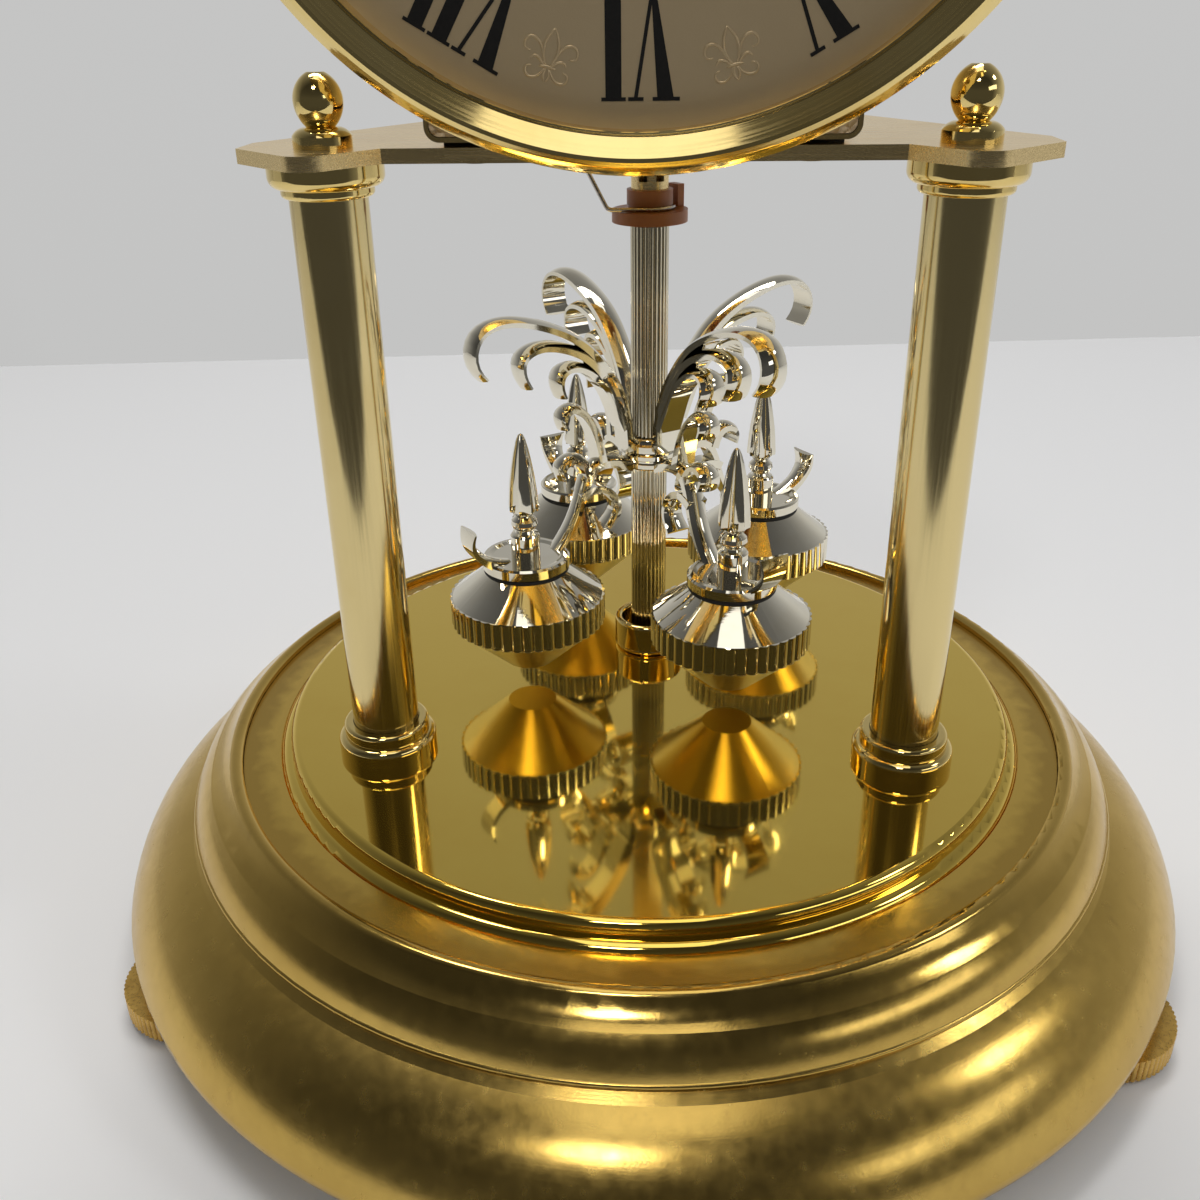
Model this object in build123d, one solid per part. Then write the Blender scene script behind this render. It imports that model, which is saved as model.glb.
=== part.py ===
from build123d import *
import os
from math import cos, radians, sin

# A table clock with a torsion pendulum. Two brass columns on a stepped round base carry a bridge
# plate with the movement and dial, and the pendulum hangs behind the columns and turns to and fro.
# The origin is the centre of the base on the table. +Z is up, and the dial faces -Y.

os.makedirs("parts", exist_ok=True)

# Clearances
running_clear = 0.05
slip_clear = 0.1
free_gap = 0.3

# How far cutting shapes run past the piece, and the bulge of a quarter round for its radius
over = 1.0
quarter_bulge = 1 - cos(radians(45))

# Levelling feet
foot_count = 3
foot_inset = 6.5
first_foot_angle = 90.0
glide_r = 6.0
glide_t = 1.2
glide_pin_r = 1.5
glide_pin_h = 3.0
wheel_r = 13.0
wheel_t = 4.5
wheel_teeth = 72
wheel_tooth_h = 0.35
wheel_gap = 1.8
stud_r = 2.0
foot_nut_r = 3.4

# Base: radii, and drops below the top of the mirror plate
base_h = 34.7
shell_t = 1.4
floor_t = 4.0
rim_r = 102.5
lip_w = 4.0
rim_bulge = 1.3
rim_inner_bulge = 0.9
bell_swell = 3.4
bell_h = 4.2
bell_bulge = 2.45
shoulder_r = 92.0
groove_r = 90.4
groove_h = 2.2
neck_r = 91.0
neck_drop = 12.4
neck_bead_h = 1.1
neck_bead_bulge = 0.42
flare_bulge = 0.55
cove_r = 87.3
cove_drop = 6.4
cove_hollow = 0.3
ridge_w = 2.5
ridge_drop = 2.6
ridge_round = 0.6
seat_r = 81.0
tray_t = 1.5
tray_recess = 0.3
tray_ledge = 2.0

# Mirror plate
deck_r = 70.0
deck_round = 1.6
deck_sheet = 1.5
plate_h = 4.5
bead_w = 2.2
bead_h = 1.5
bead_bulge = 0.5

# Columns
column_span = 96.6
column_y = -23.5
column_r = 6.1
column_wall = 0.8
column_l = 101.7
rod_r = 2.0
rod_nut_r = 4.0
rod_nut_h = 3.0
socket_floor = 1.5
collar_r = 9.15
collar_h = 3.4
collar_bead_r = 7.9
collar_bead_h = 2.5
turned_round = 1.2
bead_round = 0.7
cap_r = 8.95
cap_h = 3.5
cap_round = 1.7
cap_floor = 2.0
cap_bead_r = 7.2
cap_bead_h = 1.4
finial_r = 4.5
finial_foot_h = 1.7
finial_neck_r = 2.2
finial_neck_h = 1.2
finial_egg_r = 3.75
finial_egg_low = 3.7
finial_egg_high = 3.9
finial_top_r = 1.3
finial_low_bulge = 0.4
finial_high_bulge = 0.65
rod_reach = 2.2

# Bridge plate, with distances from the column line, front and back
bridge_t = 2.2
bridge_front = 2.7
bridge_margin = 1.4
bridge_back_half = 33.0
bridge_corner_front = 14.5
bridge_tip = 13.3
bridge_tip_front = -1.0
bridge_tip_back = 7.0
bridge_notch = 9.4
bridge_corner_round = 4.0
screw_r = 1.5
screw_head_r = 2.6
screw_head_h = 0.6
screw_half_x = 25.5
screw_front_inset = 8.0
screw_rear_inset = 14.0

# Movement case
bezel_gap = 0.7
pad_t = 0.8
pad_w = 9.0
case_w = 64.0
case_d = 58.0
case_h = 98.0
case_wall = 2.0
case_corner = 2.2
case_inner_corner = 1.0
case_edge = 0.7
panel_t = 1.5
cover_t = 2.0
post_r = 3.0
cover_screw_r = 1.1
cover_screw_l = 7.0
cover_head_r = 2.2
cover_head_h = 1.2

# Dial and bezel
dial_above_plate = 168.0
dial_r = 61.0
dial_t = 1.0
bezel_r = 64.0
bezel_skirt = 5.6
bezel_flange = 2.0
bezel_flange_bulge = 0.25
bezel_crest = 7.6
bezel_band = 0.6
bezel_slope = 2.7
bezel_slope_end = 5.1
bezel_bead = 0.6
bezel_bead_bulge = 0.2
bezel_inner_r = 57.9

# Hands and motion work
hand_bush_r = 3.5
hand_bush_flange_r = 6.0
hand_bush_flange_t = 1.2
hand_nut_r = 5.4
hand_nut_t = 1.4
hour_pipe_r = 2.4
arbor_r = 1.2
hand_t = 0.5
hand_gap = 0.9
hour_hand_l = 31.0
minute_hand_l = 45.0
hand_tail_l = 11.0
hour_blade_w = 3.0
minute_blade_w = 2.4
hand_hub_w = 1.8
hand_waist = 0.62
hand_shoulder = 0.74
hour_angle = 305.0
minute_angle = 60.0
gear_module = 0.5
cannon_teeth = 10
minute_teeth = 30
minute_pinion_teeth = 8
hour_teeth = 32
gear_t = 1.2
set_shaft_r = 1.5
knob_r = 6.5
knob_t = 5.0
train_plate_w = 48.0
train_plate_h = 40.0
train_plate_t = 2.0
train_leg_r = 2.4
motor_w = 22.0
motor_h = 15.0
motor_d = 9.0
motor_coil_r = 5.0

# Battery bay
battery_r = 7.1
battery_l = 50.0
bay_inset = 17.4
bay_wall = 1.5
door_w = 56.0
door_t = 1.6
door_overlap = 2.6
rail_t = 1.8
rail_lip = 1.2
rail_hook = 1.1

# Pendulum drive and suspension
pendulum_inset = 11.9
tube_r = 3.5
tube_bore_r = 2.6
tube_low = 91.9
tube_flange_r = 6.0
tube_flange_t = 1.5
tube_slot_w = 1.7
tube_slot_h = 2.6
tube_slot_low = 96.9
tube_slot_turns = (-20.0, 35.0)
bush_flange_r = 4.0
bush_flange_t = 1.0
bush_l = 6.0
spindle_r = 1.2
rotor_r = 9.0
rotor_t = 3.0
coil_r = 8.0
coil_h = 6.0
coil_bore_r = 2.2
coil_gap = 1.4
board_t = 1.6
board_front = 18.0
board_rear = 8.0
ledge_w = 2.0

# Pendulum lock
sleeve_low = 89.6
sleeve_flange_r = 7.1
sleeve_flange_t = 2.2
sleeve_groove_h = 0.9
sleeve_groove_r = 4.0
sleeve_collar_r = 4.3
sleeve_collar_h = 2.7
sleeve_tab_w = 3.0
sleeve_tab_t = 1.6
sleeve_tab_h = 4.0
sleeve_tab_turn = 40.0
wire_r = 0.4
wire_run = 7.6
wire_lean = 9.6
wire_bend_r = 1.4
wire_slot_w = 2.2
lock_travel = 2.2

# Pendulum
rod_low = 2.5
rod_high = 88.9
rod_flute_r = 3.65
rod_flutes = 24
rod_flute_depth = 0.3
rod_bore_r = 2.4
spindle_plug_l = 8.0
hub_r = 5.6
hub_low = 41.8
hub_h = 3.2
crown_r = 5.2
crown_h = 3.0
frond_w = 4.4
arm_w = 4.2
strip_root_t = 2.2
strip_tip_t = 0.7
strip_stations = 6
weight_count = 4
weight_circle_r = 29.2
first_weight_angle = -55.0
weight_low = 5.0
weight_foot_r = 5.0
weight_r = 15.6
weight_flutes = 44
weight_flute_depth = 0.5
weight_rim_low = 14.4
weight_rim_h = 5.6
weight_top_r = 8.3
weight_cone_h = 5.4
washer_r = 8.5
washer_t = 0.6
carrier_r = 8.7
carrier_t = 2.4
post_bore_r = 1.5
spear_post_r = 2.9
spear_post_h = 4.6
spear_neck_r = 1.6
spear_bulb_r = 2.6
spear_bulb_h = 4.4
spear_r = 3.0
spear_l = 16.0
spear_tip_r = 0.3
spear_stud_l = 10.0

# Guide cup around the lower end of the rod
cup_r = 7.2
cup_bore_r = 5.6
cup_h = 7.0
cup_floor = 1.2
cup_stud_r = 1.8

# Heights and places that follow from the sizes above
foot_circle_r = rim_r - foot_inset
bell_r = rim_r + bell_swell
rim_z = glide_t + wheel_t + wheel_gap
deck_z = rim_z + base_h
plate_z = deck_z - plate_h
seat_z = plate_z + tray_recess
tray_z = plate_z - tray_t
floor_z = rim_z + shell_t
column_x = column_span / 2
collar_top_z = deck_z + collar_h + collar_bead_h
column_low_z = deck_z + socket_floor
column_high_z = column_low_z + column_l
bridge_z = column_high_z + cap_floor
bridge_top_z = bridge_z + bridge_t
case_front_y = column_y - bridge_front - bezel_gap
case_z = bridge_top_z + pad_t
case_floor_z = case_z + case_wall
case_rear_y = case_front_y + case_d
pendulum_y = case_rear_y - pendulum_inset
bridge_back = case_rear_y + bridge_margin - column_y
dial_z = deck_z + dial_above_plate
dial_frame = Pos(0, case_front_y, dial_z) * Rot(90, 0, 0)
case_mid_up = case_z + case_h / 2 - dial_z
rotor_z = case_floor_z + tube_flange_t + bush_flange_t + running_clear
board_z = rotor_z + rotor_t + coil_gap + coil_h
hub_z = deck_z + hub_low
carrier_z = deck_z + weight_rim_low + weight_rim_h + weight_cone_h + washer_t
carrier_top = carrier_z + carrier_t
foot_angles = [first_foot_angle + 360 / foot_count * k for k in range(foot_count)]
weight_angles = [first_weight_angle + 360 / weight_count * k for k in range(weight_count)]
screw_ys = (case_front_y + screw_front_inset, case_rear_y - screw_rear_inset)
screw_spots = [(x, y) for x in (-screw_half_x, screw_half_x) for y in screw_ys]


def save(name, shape):
    shape.label = name
    export_step(shape, f"parts/{name}.step")


def disc(radius, low, high, at=(0, 0)):
    """A round bar along Z between two heights."""
    base = (Align.CENTER, Align.CENTER, Align.MIN)
    return Pos(at[0], at[1], low) * Cylinder(radius, high - low, align=base)


def ring(radius, bore, low, high, at=(0, 0)):
    return disc(radius, low, high, at) - disc(bore, low - over, high + over, at)


def block(x0, x1, y0, y1, z0, z1):
    """A box between two corners."""
    return Pos((x0 + x1) / 2, (y0 + y1) / 2, (z0 + z1) / 2) * Box(x1 - x0, y1 - y0, z1 - z0)


def outline(*steps):
    """A closed face. A step is a point, or a point and the bulge to the left of the run to it."""
    edges = []
    here = steps[0]
    for there in (*steps[1:], steps[0][:2]):
        if len(there) == 3:
            edges.append(SagittaArc(here[:2], there[:2], there[2]))
        else:
            edges.append(Line(here[:2], there[:2]))
        here = there
    return make_face(Curve() + edges)


def turned(*steps):
    """A solid turned about Z from an outline of radii and heights."""
    return revolve(Plane.XZ * outline(*steps), Axis.Z)


def fluted(radius, depth, count, low, high):
    """A round bar along Z with convex reeds around it."""
    valley = radius - depth
    edges = []
    for k in range(count):
        turn = 360 / count
        ends = [(valley * cos(radians(a)), valley * sin(radians(a))) for a in (k * turn, (k + 1) * turn)]
        crest = (radius * cos(radians((k + 0.5) * turn)), radius * sin(radians((k + 0.5) * turn)))
        edges.append(ThreePointArc(ends[0], crest, ends[1]))
    return Pos(0, 0, low) * extrude(make_face(Curve() + edges), high - low)


def strip(points, width, root_t=strip_root_t, tip_t=strip_tip_t):
    """A curved strip in the XZ plane that thins from its root to its tip, spread across Y."""
    middle = Spline(*points)
    stations = [k / strip_stations for k in range(strip_stations + 1)]
    sides = []
    for side in (1, -1):
        edge = []
        for u in stations:
            run = middle % u
            half = side * (root_t + (tip_t - root_t) * u) / 2
            spot = middle @ u
            edge.append((spot.X - run.Y * half, spot.Y + run.X * half))
        sides.append(edge)
    ends = [Line(sides[0][k], sides[1][k]) for k in (0, -1)]
    edges = [Spline(*sides[0]), Spline(*sides[1]), *ends]
    return extrude(Plane.XZ * make_face(Curve() + edges), width / 2, both=True)


def gear(teeth, low, high, tooth_at):
    """A spur gear along Z with slim teeth, one of them, or a gap, at the given angle."""
    pitch_r = gear_module * teeth / 2
    turn = 360 / teeth
    spots = []
    flank = ((-0.29, -1.2), (-0.2, 0.0), (-0.09, 0.85), (0.09, 0.85), (0.2, 0.0), (0.29, -1.2))
    for k in range(teeth):
        for share, rise in flank:
            angle = radians(tooth_at + (k + share) * turn)
            reach = pitch_r + rise * gear_module
            spots.append((reach * cos(angle), reach * sin(angle)))
    return Pos(0, 0, low) * extrude(make_face(Polyline(*spots, close=True)), high - low)


# Levelling feet: a pad that a knurled wheel turns on, and the wheel's threaded stud in the base
foot_wheel = fluted(wheel_r, wheel_tooth_h, wheel_teeth, glide_t, glide_t + wheel_t)
foot_wheel += disc(stud_r, glide_t + wheel_t, floor_z + floor_t)
foot_wheel -= disc(glide_pin_r + running_clear, 0, glide_t + glide_pin_h + free_gap)
foot_glide = disc(glide_r, 0, glide_t) + disc(glide_pin_r, glide_t, glide_t + glide_pin_h)
foot_spots = [(foot_circle_r * cos(radians(a)), foot_circle_r * sin(radians(a))) for a in foot_angles]
foot_nuts = []
for number, (x, y) in enumerate(foot_spots, 1):
    save(f"foot_wheel_{number}", Pos(x, y, 0) * foot_wheel)
    save(f"foot_glide_{number}", Pos(x, y, 0) * foot_glide)
    foot_nuts.append(ring(foot_nut_r, stud_r + running_clear, floor_z, floor_z + floor_t, (x, y)))
save("foot_nuts", Compound(foot_nuts))

# Base: one spun shell from the ledge under the tray to the crimped rim, with a board in the rim
bell_z = rim_z + bell_h
neck_z = deck_z - neck_drop
neck_low_z = neck_z - neck_bead_h
shoulder_z = neck_low_z - groove_h
ridge_z = deck_z - ridge_drop - ridge_round
cove_z = deck_z - cove_drop
lip_r = rim_r - lip_w
ledge_z = tray_z - shell_t
base_bell = turned(
    (seat_r, tray_z),
    (seat_r, ridge_z),
    (seat_r + ridge_w, ridge_z, ridge_round),
    (cove_r, cove_z, -cove_hollow),
    (neck_r, neck_z, flare_bulge),
    (neck_r, neck_low_z, neck_bead_bulge),
    (groove_r, neck_low_z - groove_h / 2),
    (shoulder_r, shoulder_z),
    (bell_r, bell_z, bell_bulge),
    (rim_r, rim_z, rim_bulge),
    (lip_r, rim_z),
    (lip_r, floor_z),
    (rim_r - shell_t, floor_z),
    (bell_r - shell_t, bell_z, -rim_inner_bulge),
    (groove_r - shell_t / 2, shoulder_z - shell_t, -bell_bulge),
    (cove_r - shell_t, ledge_z),
    (seat_r - tray_ledge, ledge_z),
    (seat_r - tray_ledge, tray_z),
)
save("base_bell", base_bell)
base_floor = disc(rim_r - shell_t - slip_clear, floor_z, floor_z + floor_t)
for spot in foot_spots:
    base_floor -= disc(foot_nut_r + slip_clear / 2, floor_z - over, floor_z + floor_t + over, spot)
save("base_floor", base_floor)

# Deck: tray, packing disc and pressed mirror plate, pierced for the tie rods and the guide cup
rod_hole_r = rod_r + slip_clear
column_spots = [(-column_x, column_y), (column_x, column_y)]
deck_edge_r = deck_r + deck_round
bead_r = deck_edge_r + bead_w
core_r = deck_r - deck_sheet
deck_holes = disc(cup_stud_r + slip_clear, tray_z - over, deck_z + over, (0, pendulum_y))
for spot in column_spots:
    deck_holes += disc(rod_hole_r, tray_z - over, deck_z + over, spot)
dome_tray = disc(seat_r - slip_clear, tray_z, seat_z)
dome_tray -= disc(bead_r + slip_clear, plate_z, seat_z + over)
save("dome_tray", dome_tray - deck_holes)
save("deck_core", disc(core_r - slip_clear, plate_z, deck_z - deck_sheet) - deck_holes)
mirror_plate = turned(
    (0, deck_z),
    (deck_r, deck_z),
    (deck_edge_r, deck_z - deck_round, deck_round * quarter_bulge),
    (deck_edge_r, plate_z + bead_h),
    (bead_r, plate_z, bead_bulge),
    (core_r, plate_z),
    (core_r, deck_z - deck_sheet),
    (0, deck_z - deck_sheet),
)
save("mirror_plate", mirror_plate - deck_holes)

# Guide cup: a round-lipped cup on a stud through the deck
cup_lip = (cup_r - cup_bore_r) / 2
guide_cup = turned(
    (0, deck_z),
    (cup_r - cup_lip, deck_z),
    (cup_r, deck_z + cup_floor, -cup_floor * quarter_bulge),
    (cup_r, deck_z + cup_h - cup_lip),
    (cup_bore_r, deck_z + cup_h - cup_lip, -cup_lip),
    (cup_bore_r, deck_z + cup_floor),
    (0, deck_z + cup_floor),
)
guide_cup = Pos(0, pendulum_y, 0) * guide_cup
guide_cup += disc(cup_stud_r, tray_z - rod_nut_h, deck_z, (0, pendulum_y))
save("guide_cup", guide_cup)

# Columns: tube, collar, cap, tie rod and egg finial on each side, with nuts under the tray
rod_low_z = tray_z - rod_nut_h - slip_clear
finial_neck_z = bridge_top_z + finial_foot_h + finial_neck_h
egg_z = finial_neck_z + finial_egg_low
finial_top_z = egg_z + finial_egg_high
rod_high_z = bridge_top_z + rod_reach
collar = turned(
    (0, deck_z),
    (collar_r, deck_z),
    (collar_r, deck_z + collar_h - turned_round),
    (collar_r - turned_round, deck_z + collar_h, -turned_round * quarter_bulge),
    (collar_bead_r, deck_z + collar_h),
    (collar_bead_r, collar_top_z - bead_round),
    (collar_bead_r - bead_round, collar_top_z, -bead_round * quarter_bulge),
    (0, collar_top_z),
)
collar -= disc(column_r + slip_clear, column_low_z, collar_top_z + over)
collar -= disc(rod_hole_r, deck_z - over, collar_top_z + over)
cap_step_z = bridge_z - cap_h
cap = turned(
    (0, cap_step_z - cap_bead_h),
    (cap_bead_r - bead_round, cap_step_z - cap_bead_h),
    (cap_bead_r, cap_step_z - cap_bead_h + bead_round, -bead_round * quarter_bulge),
    (cap_bead_r, cap_step_z),
    (cap_r - cap_round, cap_step_z),
    (cap_r, cap_step_z + cap_round, -cap_round * quarter_bulge),
    (cap_r, bridge_z),
    (0, bridge_z),
)
cap -= disc(column_r + slip_clear, cap_step_z - cap_bead_h - over, column_high_z)
cap -= disc(rod_hole_r, cap_step_z, bridge_z + over)
tube = ring(column_r, column_r - column_wall, column_low_z, column_high_z)
tie_rod = disc(rod_r, rod_low_z, rod_high_z)
finial = turned(
    (0, bridge_top_z),
    (finial_r, bridge_top_z),
    (finial_r, bridge_top_z + finial_foot_h),
    (finial_neck_r, finial_neck_z, -finial_neck_h * quarter_bulge),
    (finial_egg_r, egg_z, -finial_low_bulge),
    (finial_top_r, finial_top_z, -finial_high_bulge),
    (0, finial_top_z),
)
finial -= disc(rod_r + running_clear, bridge_top_z - over, rod_high_z + free_gap)
for side, (x, y) in zip(("left", "right"), column_spots):
    place = Pos(x, y, 0)
    save(f"column_{side}", place * tube)
    save(f"column_collar_{side}", place * collar)
    save(f"column_cap_{side}", place * cap)
    save(f"tie_rod_{side}", place * tie_rod)
    save(f"finial_{side}", place * finial)


def nut(bore, at):
    hexagon = extrude(RegularPolygon(rod_nut_r, 6), rod_nut_h)
    low = tray_z - rod_nut_h
    return Pos(at[0], at[1], low) * hexagon - disc(bore, low - over, tray_z + over, at)


nuts = [nut(rod_r + running_clear, spot) for spot in column_spots]
save("tie_nuts", Compound([*nuts, nut(cup_stud_r + running_clear, (0, pendulum_y))]))

# Bridge plate: a wide plate with a pointed end at each column and straight arms between
half_outline = [
    (column_x - bridge_notch, -bridge_front),
    (column_x, -bridge_corner_front),
    (column_x + bridge_tip, bridge_tip_front),
    (column_x + bridge_tip, bridge_tip_back),
    (bridge_back_half, bridge_back),
]
bridge_points = half_outline + [(-x, y) for x, y in reversed(half_outline)]
bridge_plate = extrude(make_face(Polyline(*bridge_points, close=True)), bridge_t)
front_corners = [e for e in bridge_plate.edges().filter_by(Axis.Z) if e.center().Y < -bridge_corner_front + 1]
bridge_plate = Pos(0, column_y, bridge_z) * fillet(front_corners, bridge_corner_round)
for spot in column_spots:
    bridge_plate -= disc(rod_hole_r, bridge_z - over, bridge_top_z + over, spot)
for spot in screw_spots:
    bridge_plate -= disc(screw_r + slip_clear, bridge_z - over, bridge_top_z + over, spot)
bridge_plate -= disc(tube_r + slip_clear, bridge_z - over, bridge_top_z + over, (0, pendulum_y))

# The lock wire leans through slots in the bridge and the case floor, with room for its travel
wire_z = deck_z + sleeve_low + sleeve_flange_t + sleeve_groove_h / 2
wire_ring_r = sleeve_groove_r + wire_r + running_clear
wire_y = pendulum_y - wire_ring_r
wire_top_z = case_floor_z + free_gap
wire_slope = wire_lean / (wire_top_z - wire_z)


def wire_slot(low, high):
    """The room that the leaning wire needs between two heights."""
    near = wire_run + (low - wire_z) * wire_slope
    far = wire_run + (high + lock_travel - wire_z) * wire_slope
    half = wire_slot_w / 2
    return block(-far - half, -near + half, wire_y - half, wire_y + half, low - over, high + over)


save("bridge_plate", bridge_plate - wire_slot(bridge_z, bridge_top_z))
screws = []
for spot in screw_spots:
    head = disc(screw_head_r, bridge_z - screw_head_h, bridge_z, spot)
    screws.append(head + disc(screw_r, bridge_z, case_floor_z + screw_head_h, spot))
save("bridge_screws", Compound(screws))
pads = []
for x in (-screw_half_x, screw_half_x):
    half = pad_w / 2
    pad = block(x - half, x + half, case_front_y + half, case_rear_y - half, bridge_top_z, case_z)
    for y in screw_ys:
        pad -= disc(screw_r + slip_clear, bridge_top_z - over, case_z + over, (x, y))
    pads.append(pad)
save("case_pads", Compound(pads))

# Movement case: a rounded box ring, closed by a stippled front panel and a rear cover
inner_w = case_w - 2 * case_wall
inner_h = case_h - 2 * case_wall
lid_w = inner_w - 2 * slip_clear
lid_h = inner_h - 2 * slip_clear
panel_w = case_w - 2 * case_edge
panel_h = case_h - 2 * case_edge
panel_corner = case_corner - case_edge


def rounded_bar(width, height, corner, low, high):
    """A rounded rectangle through the case, between two depths in front of the case face."""
    face = Pos(0, case_mid_up) * RectangleRounded(width, height, corner)
    return dial_frame * Pos(0, 0, low) * extrude(face, high - low)


movement_case = rounded_bar(case_w, case_h, case_corner, -case_d, 0)
movement_case -= rounded_bar(inner_w, inner_h, case_inner_corner, -case_d - over, over)
movement_case -= rounded_bar(panel_w, panel_h, panel_corner, -panel_t, over)
post_x = inner_w / 2 - post_r
post_ups = [case_mid_up + s * (inner_h / 2 - post_r) for s in (-1, 1)]
post_spots = [(x, up) for x in (-post_x, post_x) for up in post_ups]
post_rear = -case_d + cover_t
post_bore_l = cover_screw_l - cover_t + free_gap
post_l = post_bore_l + post_r
post_limit = rounded_bar(case_w - case_wall, case_h - case_wall, case_corner, -case_d, 0)
for x, up in post_spots:
    post = Pos(0, 0, post_rear) * extrude(Pos(x, up) * Rectangle(2 * post_r, 2 * post_r), post_l)
    movement_case += (dial_frame * post) & post_limit
    bore_end = post_rear + post_bore_l
    movement_case -= dial_frame * disc(cover_screw_r + slip_clear, post_rear - over, bore_end, (x, up))
for side in (-1, 1):
    wall_x = side * inner_w / 2
    ledge_x = sorted((wall_x + side * case_wall / 2, wall_x - side * ledge_w))
    board_y = (pendulum_y - board_front, pendulum_y + board_rear)
    movement_case += block(*ledge_x, *board_y, board_z - ledge_w, board_z)
for spot in screw_spots:
    movement_case -= disc(screw_r + slip_clear, case_z - over, case_floor_z + over, spot)
movement_case -= disc(tube_r + slip_clear, case_z - over, case_floor_z + over, (0, pendulum_y))
save("movement_case", movement_case - wire_slot(case_z, case_floor_z))
bush_hole = dial_frame * disc(hand_bush_r + slip_clear, -case_wall - over, dial_t + over)
panel = rounded_bar(panel_w - 2 * slip_clear, panel_h - 2 * slip_clear, panel_corner, -panel_t, 0)
save("case_front_panel", panel - bush_hole)

# Rear cover with the battery bay, rails and sliding door
bay_half_w = battery_l / 2 + free_gap
bay_half_h = battery_r + free_gap
bay_front = -case_d + 2 * (battery_r + free_gap)
cover_front = -case_d + cover_t


def bar(x0, x1, y0, y1, z0, z1):
    """A box in the dial's frame: across, up from the dial's centre, and forward."""
    return dial_frame * block(x0, x1, y0, y1, z0, z1)


rear_cover = rounded_bar(lid_w, lid_h, case_inner_corner, -case_d, cover_front)
bay_up = case_mid_up + inner_h / 2 - bay_inset
bay_low = bay_up - bay_half_h
bay_high = bay_up + bay_half_h
rear_cover += bar(
    -bay_half_w - bay_wall, bay_half_w + bay_wall, bay_low - bay_wall, bay_high + bay_wall,
    -case_d, bay_front + bay_wall,
)
rear_cover -= bar(-bay_half_w, bay_half_w, bay_low, bay_high, -case_d - over, bay_front)
door_low = bay_low - door_overlap
door_high = bay_high + door_overlap
rail_half = inner_w / 2 - slip_clear - case_corner
rail_back = -case_d - door_t - 2 * slip_clear
for door_edge, side in ((door_low, -1), (door_high, 1)):
    rail_edge = door_edge + side * slip_clear
    web = sorted((rail_edge, rail_edge + side * rail_t))
    lip = sorted((rail_edge + side * rail_t, door_edge - side * rail_hook))
    rear_cover += bar(-rail_half, rail_half, *web, rail_back, -case_d)
    rear_cover += bar(-rail_half, rail_half, *lip, rail_back - rail_lip, rail_back)
centre_gap = gear_module * (cannon_teeth + minute_teeth) / 2
set_spot = (0, -centre_gap)
rear_cover -= dial_frame * disc(set_shaft_r + running_clear, -case_d - over, cover_front + over, set_spot)
for spot in post_spots:
    rear_cover -= dial_frame * disc(cover_screw_r + slip_clear, -case_d - over, cover_front + over, spot)
save("rear_cover", rear_cover)
cover_screws = []
for spot in post_spots:
    head = disc(cover_head_r, -case_d - cover_head_h, -case_d, spot)
    cover_screws.append(dial_frame * (head + disc(cover_screw_r, -case_d, -case_d + cover_screw_l, spot)))
save("cover_screws", Compound(cover_screws))
door = bar(-door_w / 2, door_w / 2, door_low, door_high, -case_d - slip_clear - door_t, -case_d - slip_clear)
save("battery_door", door)

# Dial and stepped bezel
save("dial", dial_frame * disc(dial_r, 0, dial_t) - bush_hole)
flange_in_r = bezel_r - bezel_flange
crest_r = flange_in_r - bezel_band
slope_r = crest_r - bezel_slope
bead_in_r = slope_r - bezel_bead
bezel = turned(
    (dial_r + slip_clear, 0),
    (bezel_r, 0),
    (bezel_r, bezel_skirt),
    (flange_in_r, bezel_crest, -bezel_flange_bulge),
    (crest_r, bezel_crest),
    (slope_r, bezel_slope_end),
    (bead_in_r, bezel_slope_end, -bezel_bead_bulge),
    (bezel_inner_r, dial_t),
    (dial_r + slip_clear, dial_t),
)
save("bezel", dial_frame * bezel)

# Bush and nut that clamp the dial to the case, around the hour pipe
bush_low = -panel_t - hand_bush_flange_t
bush_high = dial_t + hand_nut_t + free_gap
hour_low = bush_high + free_gap
minute_low = hour_low + hand_t + hand_gap
hand_bush = disc(hand_bush_r, bush_low, bush_high) + disc(hand_bush_flange_r, bush_low, -panel_t)
hand_bush -= disc(hour_pipe_r + running_clear, bush_low - over, bush_high + over)
hand_nut = Pos(0, 0, dial_t) * extrude(RegularPolygon(hand_nut_r, 6), hand_nut_t)
hand_nut -= disc(hand_bush_r + running_clear, dial_t - over, dial_t + hand_nut_t + over)
save("hand_bush", Compound([dial_frame * hand_bush, dial_frame * hand_nut]))

# Motion work: cannon pinion, minute wheel and hour wheel behind the front panel
up = 90.0
down = -90.0
hour_gear_high = bush_low - free_gap
hour_gear_low = hour_gear_high - gear_t
cannon_high = hour_gear_low - 2 * gear_t
cannon_low = cannon_high - gear_t
train_plate_high = cannon_low - gear_t
train_plate_low = train_plate_high - train_plate_t
arbor_front = minute_low + hand_t + hand_gap
hour_wheel = gear(hour_teeth, hour_gear_low, hour_gear_high, down)
hour_wheel += disc(hour_pipe_r, hour_gear_low, hour_low + hand_t)
hour_wheel -= disc(arbor_r + running_clear, hour_gear_low - over, hour_low + hand_t + over)
save("hour_wheel", dial_frame * hour_wheel)
cannon_pinion = gear(cannon_teeth, cannon_low - gear_t / 4, cannon_high + gear_t / 4, down)
cannon_pinion += disc(arbor_r, train_plate_low, arbor_front)
save("cannon_pinion", dial_frame * cannon_pinion)
minute_gap = 180 / minute_teeth
pinion_gap = 180 / minute_pinion_teeth
set_rear = -case_d - rail_lip - free_gap
minute_wheel = gear(minute_teeth, cannon_low, cannon_high, up + minute_gap)
minute_wheel += gear(minute_pinion_teeth, cannon_high, hour_gear_high, up + pinion_gap)
minute_wheel += disc(set_shaft_r, set_rear - knob_t / 2, cannon_low)
save("minute_wheel", dial_frame * Pos(*set_spot) * minute_wheel)
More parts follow.
